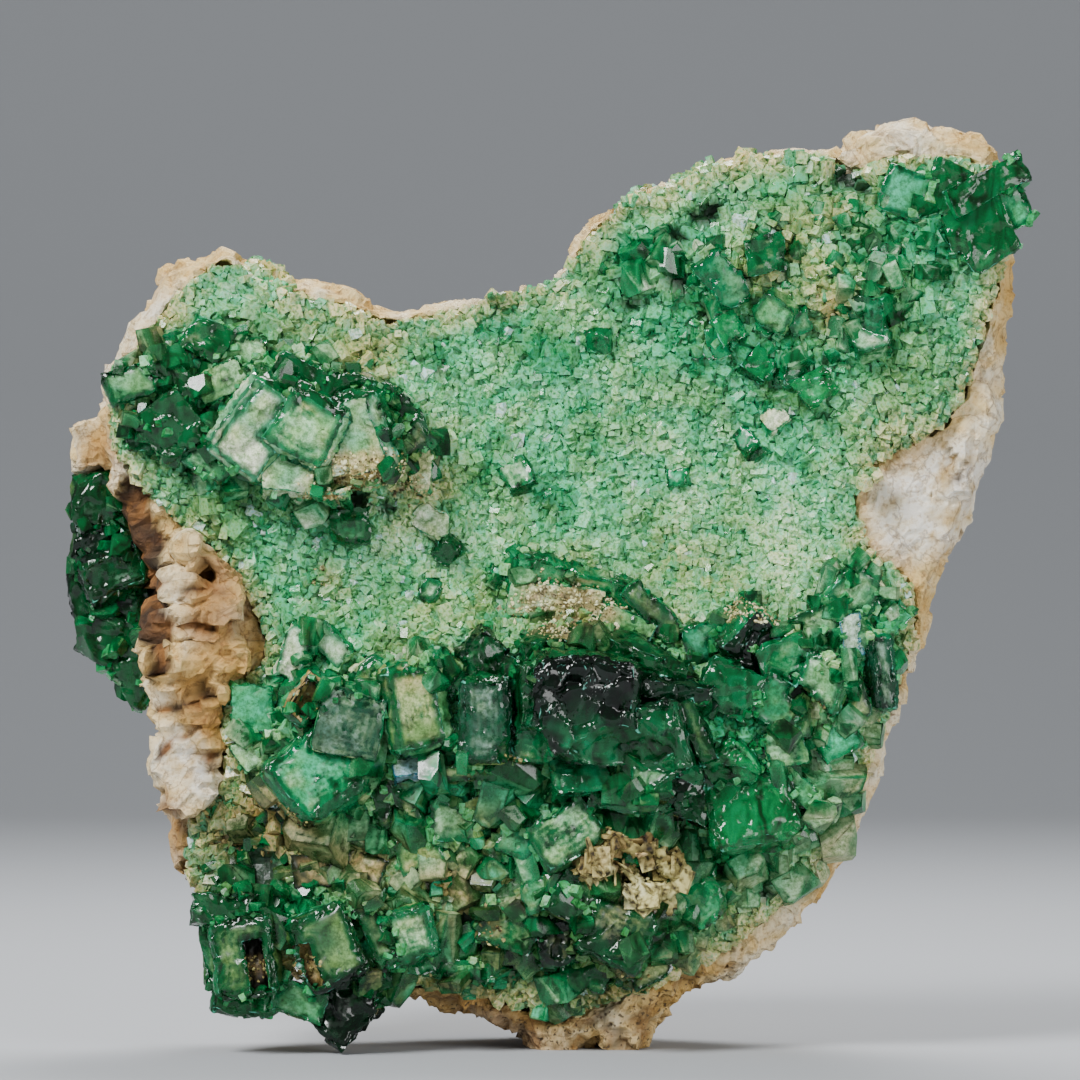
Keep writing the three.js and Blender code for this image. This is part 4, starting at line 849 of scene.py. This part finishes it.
def edges_of(body):
    """Places along the sharp edges of a bmesh, and those along its inner corners."""
    rims, nooks = [], []
    for edge in body.edges:
        if len(edge.link_faces) == 2 and edge.calc_face_angle() > SHARP:
            first, last = (vert.co / MM for vert in edge.verts)
            steps = max(2, int((last - first).length / 0.3))
            places = [first.lerp(last, step / steps) for step in range(steps + 1)]
            rims.extend(places)
            if not edge.is_convex:
                nooks.extend(places)
    return rims, nooks


def corners_of(body):
    """The outer corners of the crystals in a bmesh: place, direction outwards and shortest edge."""
    corners = []
    for vert in body.verts:
        sharp = [
            edge for edge in vert.link_edges if len(edge.link_faces) == 2 and edge.calc_face_angle() > SHARP
        ]
        if len(sharp) < 3 or not all(edge.is_convex for edge in sharp):
            continue
        ways = [(edge.other_vert(vert).co - vert.co) / MM for edge in sharp]
        inwards = sum((way.normalized() for way in ways), Vector())
        if inwards.length > 0.5:
            outward = -np.array(inwards.normalized())
            corners.append((np.array(vert.co) / MM, outward, min(way.length for way in ways)))
    return corners


def cleaved(points, corners, seed):
    """Points with the crystals' corners broken off along flat cleavages, some hardly and some deeply."""
    random = np.random.default_rng(seed)
    for place, outward, reach in corners:
        depth = random.choice((0.05, 0.13, 0.22, 0.34)) * min(reach, 8.0)
        away = points - place
        beyond = away @ outward + depth
        cut = (beyond > 0) & ((away ** 2).sum(axis=1) < (1.9 * depth) ** 2)
        points[cut] -= beyond[cut, None] * outward
    return points


def warped(points):
    """Points shifted by a slow swell, because no grown face stays quite flat."""
    swell = np.column_stack([lumps(points, 7, seed, 2) - 0.5 for seed in (81, 82, 83)])
    moved = points + 1.7 * swell
    moved[:, 2] = np.maximum(moved[:, 2], 0.02)
    return moved


def away_from(places, points):
    """How far each point is from the nearest of some places, up to 9 mm."""
    tree = KDTree(len(places) + 1)
    for number, place in enumerate(places):
        tree.insert(place, number)
    tree.insert((0, 1e6, 0), len(places))
    tree.balance()
    return np.minimum([tree.find(point)[2] for point in points], 9.0)


def broken_facets(points, size, seed):
    """Heights from -1 to 1 of flat tilted chips about size across, which meet at steps."""
    random = np.random.default_rng(seed)
    low, high = points.min(axis=0), points.max(axis=0)
    counts = np.ceil((high - low) / size).astype(int) + 1
    cells = (np.indices(counts).reshape(3, -1).T + random.random((counts.prod(), 3))) * size + low
    tilts = random.normal(size=cells.shape)
    tilts /= np.linalg.norm(tilts, axis=1)[:, None]
    tree = KDTree(len(cells))
    for number, place in enumerate(cells):
        tree.insert(place, number)
    tree.balance()
    near = np.array([tree.find(point)[1] for point in points])
    return np.clip(((points - cells[near]) * tilts[near]).sum(axis=1) / (0.7 * size), -1, 1)


def cut_fine(body):
    """Divides the long edges of a bmesh, round after round. Faces that lie behind the ground stay large."""
    bmesh.ops.triangulate(body, faces=body.faces)
    for _ in range(6):
        spans = np.array([[vert.co[:] for vert in edge.verts] for edge in body.edges]) / MM
        first, last = spans[:, 0], spans[:, 1]
        long = np.linalg.norm(first - last, axis=1) > FACET_STEP
        hidden = (level_at(first) - first[:, 1] < 0.5) & (level_at(last) - last[:, 1] < 0.5)
        hidden &= (first[:, 1] < level_at(first) + 1) & (first[:, 0] > crust_low.x + 6)
        chosen = [edge for edge, wanted in zip(body.edges, long & ~hidden) if wanted]
        if not chosen:
            break
        bmesh.ops.subdivide_edges(body, edges=chosen, cuts=1)
        bmesh.ops.triangulate(body, faces=[face for face in body.faces if len(face.verts) > 3])


def worn_depth(points, rim, frost, shatter, seed):
    """How far each point lies under its whole face: chips and knocks at the edges, breaks and etching
    further in."""
    inward = smooth_step(rim, 0.0, 1.0)
    chips = np.clip(broken_facets(points, 1.5, seed + 2), 0, 1) * (1 - smooth_step(rim, 0.0, 0.9))
    knocks = np.clip(broken_facets(points, 4.0, seed + 7) - 0.3, 0, 1) * (1 - smooth_step(rim, 0.2, 2.2))
    breaks = broken_facets(points, 3.0, seed + 6) * shatter * inward
    etch = (lumps(points, 1.6, seed + 3) - 0.5) * (0.3 + frost) * inward
    sunk = 0.05 * (rim < 0.1) + 0.6 * chips + 1.3 * knocks + 0.4 * etch + 0.95 * breaks
    return sunk * (1 - 0.7 * strength_at(points, WHOLE_PLACES))


def mark_nooks(mesh, points, normals, nook, seed):
    """Marks where small crystals grew: in the corners between large ones, along the ground and on some
    overgrown faces."""
    near_ground = smooth_step(2.2 - (level_at(points) - points[:, 1]), 0.0, 1.0) * (normals[:, 1] < 0.5)
    near_ground *= points[:, 1] < level_at(points)
    free = 1 - 0.9 * smooth_step(strength_at(points, FREE_PLACES), 0.2, 0.6)
    overgrown = 0.8 * smooth_step(lumps(points, 6, seed + 15), 0.58, 0.7)
    store(mesh, "nook", np.clip(1 - smooth_step(nook, 0.2, 1.2) + near_ground + overgrown, 0, 1) * free)


def paint_faces(mesh, points, rim, crumbly, looks, point_of, facet_of, seed):
    """Gives each facet the glass, coat, frost, painted white glints and frame of its look, shaded and stained
    by place. point_of and facet_of are those of each corner of the mesh."""
    own = np.random.default_rng(seed + 1).random((len(looks), 3))
    glass, low, high, frosting, flecks = (
        look_part(looks, part)[facet_of] for part in (GLASS, LOW, HIGH, FROST, GLINT_FLECKS)
    )
    veils = lumps(points, 5.0, seed + 4)[point_of] + 0.25 * (own[facet_of, 0] - 0.5)
    frosting = frosting + 1.1 * (lumps(points, 4.2, seed + 5)[point_of] - 0.5)
    frosting -= 0.8 * strength_at(points, UNETCHED_PLACES)[point_of]
    coat = blend(low, high, smooth_step(veils, 0.32, 0.68))
    mossy = smooth_step(lumps(points, 3.0, seed + 10)[point_of] + 0.3 * own[facet_of, 2], 0.6, 0.85)
    coat = blend(coat, coat * linear("#dfe0a8"), 0.6 * mossy)
    glow = strength_at(points, GLOWING_PLACES) * smooth_step(lumps(points, 3, seed + 14), 0.25, 0.6)
    glow = glow[point_of]
    glass = blend(glass, along(("#0a8a50", "#14b074"), glow), 0.8 * glow)
    shade = 0.65 + 0.7 * own[facet_of, 1]
    shade *= 1 - 0.4 * strength_at(points, SHADY_PLACES)[point_of] * (1 - glow)
    for tone, share in ((glass, shade), (coat, 0.5 + 0.5 * shade)):
        tone[:, :3] *= share[:, None]
    patches = smooth_step(lumps(points, 2.4, seed + 16), 0.4, 0.6)
    stain = (strength_at(points, STAINED_PLACES) * patches)[point_of]
    cream = along(("#a87836", "#e0c488", "#f2e8cc"), lumps(points, 1.6, seed + 17)[point_of])
    coat = blend(coat, cream, 0.85 * np.clip(stain, 0, 1))
    earth = 0.8 * (crumbly * smooth_step(lumps(points, 1.8, seed + 11), 0.35, 0.6))[point_of]
    coat = blend(coat, along(("#4a3218", "#b08a58"), lumps(points, 2.0, seed + 12)[point_of]), earth)
    store(mesh, "glass", glass, "CORNER")
    store(mesh, "coat", coat, "CORNER")
    store(mesh, "frost", np.clip(frosting + 0.8 * earth + 0.5 * stain, 0, 1.8), "CORNER")
    # Where the painted white glints gather: high on the plate and in patches.
    shattered = 0.25 + 0.75 * smooth_step(points[:, 2] - 0.3 * points[:, 0], 50, 56)
    shattered *= 0.3 + 1.1 * smooth_step(lumps(points, 2.2, seed + 13), 0.38, 0.62)
    store(mesh, "flecks", np.clip(flecks * shattered[point_of], 0, 1), "CORNER")
    unframed = 1.6 * (own[:, 2] + 0.5 * look_part(looks, FROST) > 1.15)
    from_rim = rim[point_of]
    store(mesh, "rim", from_rim + unframed[facet_of] * (from_rim > 0.25), "CORNER")


def dressed_crystals(body, name, seed):
    """Crystals with broken corners, chipped edges, shattered faces and faces part glassy and part frosted."""
    number_facets(body)
    rims, nooks = edges_of(body)
    corners = corners_of(body)
    cut_fine(body)
    mesh = mesh_of(body, name)
    points, normals = points_of(mesh), normals_of(mesh)
    rim, nook = away_from(rims, points), away_from(nooks, points)
    point_of = np.zeros(len(mesh.loops), int)
    mesh.loops.foreach_get("vertex_index", point_of)
    facet_of = np.repeat(stored(mesh, "facet").astype(int), 3)
    centres = np.column_stack([np.bincount(facet_of, points[point_of, axis]) for axis in range(3)])
    looks = look_rows(centres / np.bincount(facet_of)[:, None], seed)
    frost, shatter = np.zeros(len(points)), np.zeros(len(points))
    frost[point_of] = look_part(looks, FROST)[facet_of]
    shatter[point_of] = look_part(looks, SHATTER)[facet_of]
    depth = worn_depth(points, rim, frost, shatter, seed)
    move_points(mesh, warped(cleaved(points - normals * depth[:, None], corners, seed + 8)))
    crumbly = smooth_step(strength_at(points, CRUMBLY_PLACES), 0.25, 0.9)
    mark_nooks(mesh, points, normals, nook, seed)
    store(mesh, "crumbly", crumbly)
    paint_faces(mesh, points, rim, crumbly, looks, point_of, facet_of, seed)
    mesh.polygons.foreach_set("use_smooth", np.ones(len(mesh.polygons), bool))
    mesh.set_sharp_from_angle(angle=SHARP)
    return add_piece(mesh, CLEAR)


def islands_of(body):
    """The faces of a bmesh in connected islands, in the order of their first faces."""
    islands, seen = [], set()
    for first in body.faces:
        if first in seen:
            continue
        seen.add(first)
        island, queue = [first], [first]
        while queue:
            for edge in queue.pop().edges:
                near = [face for face in edge.link_faces if face not in seen]
                seen.update(near)
                island.extend(near)
                queue.extend(near)
        islands.append(island)
    return islands


def crust_crystals():
    """The sharp crystals that stand out of the crust solid, each closed behind."""
    shells = merged_copy("crystal_crust")
    places = np.array([vert.co[:] for vert in shells.verts]) / MM
    shells.verts.index_update()
    proud = level_at(places) - places[:, 1] > 0.4
    lying = [face for face in shells.faces if not any(proud[vert.index] for vert in face.verts)]
    bmesh.ops.delete(shells, geom=lying, context="FACES")
    # Their order settles the numbers of the facets, and so each facet's chance look.
    for shell in reversed(islands_of(shells)):
        corners = np.array([vert.co[:] for face in shell for vert in face.verts]) / MM
        if np.ptp(corners, axis=0).max() > LARGEST_SINGLE:
            bmesh.ops.delete(shells, geom=shell, context="FACES")
    rim = [edge for edge in shells.edges if len(edge.link_faces) == 1]
    bmesh.ops.holes_fill(shells, edges=rim, sides=0)
    return dressed_crystals(shells, "crust_crystals", 70)


def loose_crystals(name, surface, where, spacing, smallest, largest, seed, shade=0.0):
    """Crystals of a few millimetres that grew one by one, part glassy and part frosted."""
    mesh = grow(name, surface, coarse_tree, where, spacing, smallest, largest, seed)
    points, tint = points_of(mesh), stored(mesh, "tint")
    chances = np.clip(0.35 * ((tint * 61) % 1) + 1.3 * lumps(points, 6, 39) - 0.35, 0, 0.99)
    looks = chance_looks(points, chances, shade)
    glass, low, high, frosting, flecks = (
        look_part(looks, part) for part in (GLASS, LOW, HIGH, FROST, GLINT_FLECKS)
    )
    stain = strength_at(points, STAINED_PLACES) + 0.7 * read_at(near_edge * on_crust, points)
    stain *= smooth_step(tint, 0.3, 0.8)
    coat = blend(low, high, smooth_step(lumps(points, 2.5, seed + 1), 0.3, 0.7))
    pale = strength_at(points, PALE_PLACES) * smooth_step((tint * 43) % 1, 0.15, 0.5)
    coat = blend(coat, along(("#8ab488", "#e2e6c0"), tint), 0.7 * pale)
    stain = np.clip(stain, 0, 1)
    store(mesh, "glass", blend(glass, along(("#1c1a0c", "#6a5a34"), tint), 0.75 * stain))
    store(mesh, "coat", blend(coat, along(("#6a5830", "#c4ac7c"), tint), 0.85 * stain))
    store(mesh, "frost", frosting - 0.1 + 1.3 * (lumps(points, 2.0, seed) - 0.5) + 0.3 * stain + 0.5 * pale)
    store(mesh, "flecks", flecks)
    store(mesh, "rim", 0.75 + 0.9 * stored(mesh, "panel"))
    return add_piece(mesh)


NOOK_TONES = ("#053020", "#0a5a34", "#17804a", "#3aa26a", "#72be88", "#a6d09a", "#cfe0ae")


def nook_crystals(name, surface, spacing, smallest, largest, seed):
    """Small crystals that fill the corners between large ones."""
    mesh = grow(name, surface, nook_tree, "nook", spacing, smallest, largest, seed)
    points, tint = points_of(mesh), stored(mesh, "tint")
    shade = 0.42 * strength_at(points, SHADY_PLACES)
    place = 0.56 - shade + 0.22 * (tint - 0.5) + 1.0 * (lumps(points, 5, 37) - 0.5)
    stain = strength_at(points, STAINED_PLACES) * smooth_step(lumps(points, 3, 32) + 0.3 * tint, 0.4, 0.8)
    tone = blend(along(NOOK_TONES, place), along(("#4a3d20", "#a08a50"), tint), 0.8 * stain)
    store(mesh, "tone", tone)
    store(mesh, "dull", np.where((tint * 37) % 1 < 0.45, 0.08, 0.38))
    return add_piece(mesh)


EARTH = ("#352c1a", "#6a5e36", "#a4985a", "#ccc688", "#ecebc0")


def clay_crumbs(name, surface, spacing, smallest, largest, seed, tree=crumb_tree):
    """Crumbs of dried clay that cling where the crystals are stained, or plates of it."""
    mesh = grow(name, surface, tree, "crumbly", spacing, smallest, largest, seed)
    points, tint = points_of(mesh), stored(mesh, "tint")
    high = smooth_step(points[:, 2], 30, 70) + strength_at(points, [CLAY_PATCH])
    tone = along(EARTH, 0.15 + 0.5 * tint + 0.35 * high + 0.5 * (lumps(points, 3, 36) - 0.5))
    rust = smooth_step(lumps(points, 2.6, 58) + 0.06 * (points[:, 2] - 28), 0.4, 0.7)
    rust *= strength_at(points, [CLAY_PATCH])
    store(mesh, "tone", blend(tone, along(("#5a3416", "#9a6430", "#c49a64"), tint), 0.85 * rust))
    return add_piece(mesh)


finish_piece(crust_crystals(), "deep_fluorite")
for number, group_name in enumerate(CRYSTAL_GROUPS):
    short_name = group_name.removesuffix("_crystals")
    group = dressed_crystals(merged_copy(group_name), short_name + "_faces", 100 + 20 * number)
    shards = loose_crystals(
        short_name + "_shards", group, "nook",
        spacing=2.5, smallest=1.8, largest=4.0, seed=500 + number, shade=0.3)
    finish_piece(shards, "deep_fluorite")
    nooks = nook_crystals(
        short_name + "_nooks", group, spacing=1.15, smallest=0.6, largest=1.5, seed=300 + number)
    finish_piece(nooks, "pale_fluorite")
    if group_name not in ("top_right_crystals", "left_flank_crystals"):
        crumbs = clay_crumbs(
            short_name + "_crumbs", group, spacing=0.42, smallest=0.25, largest=0.75, seed=400 + number)
        finish_piece(crumbs, "ochre_clay")
    finish_piece(group, "deep_fluorite", group_name)
for name, tree, where, spacing, smallest, largest, seed in (
    ("fine_druse", fine_tree, "fine", 0.72, 0.85, 1.6, 1),
    ("middling_druse", middling_tree, "middling", 1.9, 1.3, 2.5, 2),
):
    finish_piece(sugar(name, ground, tree, where, spacing, smallest, largest, seed), "pale_fluorite")
for name, where, spacing, smallest, largest, seed in (
    ("coarse_druse", "coarse", 2.5, 1.8, 4.2, 3),
    ("large_druse", "large", 4.8, 4.0, 7.5, 7),
):
    finish_piece(loose_crystals(name, ground, where, spacing, smallest, largest, seed), "deep_fluorite")
crumbs = clay_crumbs("crust_crumbs", ground, spacing=0.62, smallest=0.4, largest=1.35, seed=4)
finish_piece(crumbs, "ochre_clay")
finish_piece(ground, "pale_fluorite", "crystal_crust")


# ---------- the rock ----------

def voxel_copy(node_name, name, voxel):
    """A CAD node's body rebuilt from even small faces, in millimetres."""
    piece = add_piece(mesh_of(merged_copy(node_name), name + "_body"))
    remesh = piece.modifiers.new("remesh", "REMESH")
    remesh.mode = "VOXEL"
    remesh.voxel_size = voxel * MM
    remesh.use_smooth_shade = True
    mesh = plain_mesh(piece)
    mesh.name = name
    bpy.data.objects.remove(piece)
    return mesh


# Where the rock is rusty, and where it is white.
RUSTY_PLACES = (
    (-52, 72, 6, 0.8), (-50, 64, 6, 0.7), (-56, 56, 5, 0.5), (-52, 51, 4, 0.7), (-60, 34, 8, 0.8),
    (-56, 24, 6, 0.5), (-10, 4, 16, 0.7), (44, 20, 8, 0.15), (30, 10, 8, 0.2), (66, 106, 5, 0.3),
    (-70, 94, 5, 0.8), (-62, 115, 5, 0.3), (70, 118, 4, 0.3), (56, 94, 6, 0.5), (-48, 78, 5, 0.6),
)
WHITE_PLACES = (
    (-57, 47, 4, 1.0), (-54, 42, 3, 0.6), (58, 84, 9, 1.0), (66, 92, 6, 0.5), (-62, 116, 7, 0.5),
    (56, 142, 8, 0.5), (-68, 104, 6, 0.6), (12, 3, 7, 0.4),
)

# Where the crust spreads over the rock's rim.
SPREAD_PLACES = (
    (-44, 119, 5, 0.9), (-34, 113, 4, 0.9), (-20, 109, 4, 0.9), (-8, 111, 4, 0.9), (2, 114, 4, 0.9),
    (8, 121, 4, 0.9), (14, 130, 4, 0.9), (23, 136, 4, 0.9), (33, 140, 4, 0.8), (-62, 101, 4, 0.8),
    (64, 118, 4, 0.8), (65, 110, 3, 0.7), (51, 60, 3, 0.7), (46, 42, 3, 0.7), (36, 24, 3, 0.6),
    (-55, 108, 3, 0.7), (20, 13, 4, 0.6), (-10, 12, 3, 0.6),
)
# The recess between the plate and the crystals on its left flank, set back and painted dark brown: partly
# brown, partly painted shade.
RECESS_PLACES = (
    (-65, 84, 3.5, 1.0), (-63, 78, 4, 1.0), (-61, 72, 3.4, 1.0), (-60.4, 66, 3, 1.0), (-59.4, 60, 2.6, 0.9),
    (-53.5, 30, 3, 0.7), (-55, 24, 3, 0.6),
)


def broken_rock():
    """The rock's own body with torn ledges, cracks and pores: cream, rusty or white by place, and dark brown in
    the cracks under the ledges, the pits and the recess, partly brown and partly painted shade.
    """
    mesh = voxel_copy("rock", "broken_rock", 0.85)
    points, normals = points_of(mesh), normals_of(mesh)
    left = smooth_step(-points[:, 0], 44, 50)
    left *= smooth_step(points[:, 2], 30, 40) * (1 - smooth_step(points[:, 2], 76, 84))
    slabs = broken_facets(points * (1, 1, 2.6), 8, 41)
    cracks = left * smooth_step(-slabs, 0.25, 0.75)
    white = smooth_step(strength_at(points, WHITE_PLACES) + 0.35 * lumps(points, 4, 49), 0.4, 1.0)
    height = (0.95 - 0.35 * left) * broken_facets(points, 7, 42)
    height += (0.5 - 0.2 * left - 0.2 * white) * broken_facets(points, 3, 43)
    height += 1.1 * (lumps(points, 11, 44) - 0.5)
    height += 1.7 * left * (1 - 0.5 * white) * slabs
    beside_flank = smooth_step(-points[:, 0], 52, 57) * smooth_step(points[:, 2], 56, 62)
    height += 1.0 * beside_flank * (1 - smooth_step(points[:, 2], 88, 92))
    recess = smooth_step(strength_at(points, RECESS_PLACES) + 1.3 * (lumps(points, 4, 54) - 0.5), 0.3, 0.6)
    low_rim = smooth_step(18 - points[:, 2], 0, 8)
    pits = smooth_step(lumps(points, 2.6, 45) + 0.12 * low_rim, 0.6, 0.72)
    height -= 0.9 * pits * (0.25 + 0.75 * low_rim)
    height += 0.4 * low_rim * broken_facets(points, 2.0, 57)
    moved = points + normals * height[:, None]
    moved[:, 1] += 3.5 * recess
    moved[:, 2] = np.where(points[:, 2] < 1.2, np.minimum(moved[:, 2], points[:, 2]), moved[:, 2])
    moved[:, 2] = np.maximum(moved[:, 2], 0.0)
    move_points(mesh, moved)
    body = along(("#dab264", "#f3d698", "#fceac2", "#fffaea"), smooth_step(
        0.6 * lumps(points, 10, 46) + 0.4 * lumps(points, 2.5, 53), 0.25, 0.75))
    rust = smooth_step(strength_at(points, RUSTY_PLACES) + 0.5 * lumps(points, 6, 47), 0.45, 1.15)
    tone = blend(body, along(("#8a5c24", "#cf9a44"), lumps(points, 3, 48)), 0.85 * rust)
    chalk = along(("#d4ba88", "#fdf6e4", "#fffdf8"), smooth_step(lumps(points, 2, 50), 0.25, 0.6))
    tone = blend(tone, chalk, white)
    # Painted shade, partly brown too: the cracks below the ledges, the pits and the recess are darkened.
    dark = np.clip(0.9 * cracks + 0.6 * pits * (0.4 + 0.6 * low_rim) + 0.97 * recess, 0, 0.97)
    brown = along(("#201204", "#54300e", "#a06c34"), smooth_step(lumps(points, 2.2, 51), 0.2, 0.8))
    store(mesh, "tone", blend(tone, brown, dark))
    store(mesh, "pitted", (0.15 + 0.7 * low_rim) * (1 - 0.7 * white))
    mesh.polygons.foreach_set("use_smooth", np.zeros(len(mesh.polygons), bool))
    ragged = smooth_step(strength_at(points, SPREAD_PLACES) + 0.8 * (lumps(points, 5, 55) - 0.5), 0.35, 0.6)
    facing = smooth_step(-normals[:, 1], -0.3, 0.2) * smooth_step(30 - points[:, 1], 0, 8)
    store(mesh, "spread", ragged * facing)
    return add_piece(mesh, FELDSPAR)


rock = broken_rock()
rim_druse = sugar(
    "rim_druse", rock, middling_tree, "spread", spacing=1.1, smallest=0.9, largest=2.0, seed=6)
finish_piece(rim_druse, "pale_fluorite")
finish_piece(rock, "feldspar_rock", "rock")


def clay_boxwork():
    """The clay's own body, all knobs and small plates."""
    mesh = voxel_copy("clay_skeleton", "clay_boxwork", 0.35)
    points, normals = points_of(mesh), normals_of(mesh)
    height = 0.2 + 0.9 * broken_facets(points, 2.2, 61) + 0.4 * broken_facets(points, 0.9, 62)
    move_points(mesh, points + normals * height[:, None])
    store(mesh, "tone", along(EARTH, 0.6 + 1.1 * (lumps(points, 4, 63) - 0.5)))
    hollow = strength_at(points, [CLAY_HOLE])
    store(mesh, "crumbly", smooth_step(lumps(points, 3, 64), 0.4, 0.6) * (1 - smooth_step(hollow, 0.2, 0.5)))
    return add_piece(mesh, CLAY)


boxwork = clay_boxwork()
for name, tree, spacing, smallest, largest, seed in (
    ("boxwork_crumbs", crumb_tree, 0.7, 0.3, 0.8, 5),
    ("boxwork_plates", plate_tree, 1.2, 1.8, 4.2, 8),
):
    finish_piece(clay_crumbs(name, boxwork, spacing, smallest, largest, seed, tree), "ochre_clay")
finish_piece(boxwork, "ochre_clay", "clay_skeleton")


# ---------- floor, backdrop, light and camera ----------

def studio():
    """A pale floor that rises into a backdrop, and soft light all round."""
    half_wide, depth, height, bend, steps = 2.8, 1.35, 2.0, 0.55, 24
    profile = [(-half_wide, 0.0)]
    for step in range(steps + 1):
        angle = step / steps * math.pi / 2
        profile.append((depth - bend + bend * math.sin(angle), bend - bend * math.cos(angle)))
    profile.append((depth, height))
    mesh = bpy.data.meshes.new("floor_and_backdrop")
    points = [(x, y, z) for y, z in profile for x in (-half_wide, half_wide)]
    faces = [(2 * i, 2 * i + 1, 2 * i + 3, 2 * i + 2) for i in range(len(profile) - 1)]
    mesh.from_pydata(points, [], faces)
    mesh.polygons.foreach_set("use_smooth", np.ones(len(faces), bool))
    material, tree = new_material("studio_card")
    card = add(tree, "ShaderNodeBsdfPrincipled", {"Base Color": "#a9acb0", "Roughness": 0.9})
    add(tree, "ShaderNodeOutputMaterial", {"Surface": card})
    add_piece(mesh, material)
    world = bpy.data.worlds.new("studio")
    world.use_nodes = True
    sky = world.node_tree.nodes["Background"].inputs
    sky["Color"].default_value = linear("#d2d4d6")
    sky["Strength"].default_value = 0.42
    bpy.context.scene.world = world


def soft_light(name, place, size, power):
    """A square soft white light that faces the middle of the plate. place and size are in metres, and power
    is in watts."""
    lamp = bpy.data.lights.new(name, "AREA")
    lamp.size = size
    lamp.energy = power
    light = bpy.data.objects.new(name, lamp)
    light.location = place
    light.rotation_euler = (middle - Vector(place)).to_track_quat("-Z", "Y").to_euler()
    bpy.context.scene.collection.objects.link(light)


middle = (cad_low + cad_high) / 2
studio()
soft_light("key_light", (-0.42, -0.5, 0.62), size=0.3, power=11.4)
soft_light("fill_light", (0.55, -0.6, 0.25), size=0.4, power=3.9)
soft_light("top_light", (0.05, 0.3, 0.6), size=0.3, power=5.0)

CAMERA_AWAY = 0.95  # metres from the plate's face
FRAME_WIDE = 0.1674  # metres of the plate's face across the picture
FACE_CENTRE = Vector((-0.001, -0.008, 0.0794))  # what the camera looks at

camera_data = bpy.data.cameras.new("camera")
camera_data.sensor_width = 36.0
camera_data.lens = camera_data.sensor_width * CAMERA_AWAY / FRAME_WIDE
camera = bpy.data.objects.new("camera", camera_data)
camera.location = FACE_CENTRE - Vector((0, CAMERA_AWAY, 0))
camera.rotation_euler = (math.pi / 2, 0, 0)
bpy.context.scene.collection.objects.link(camera)
bpy.context.scene.camera = camera
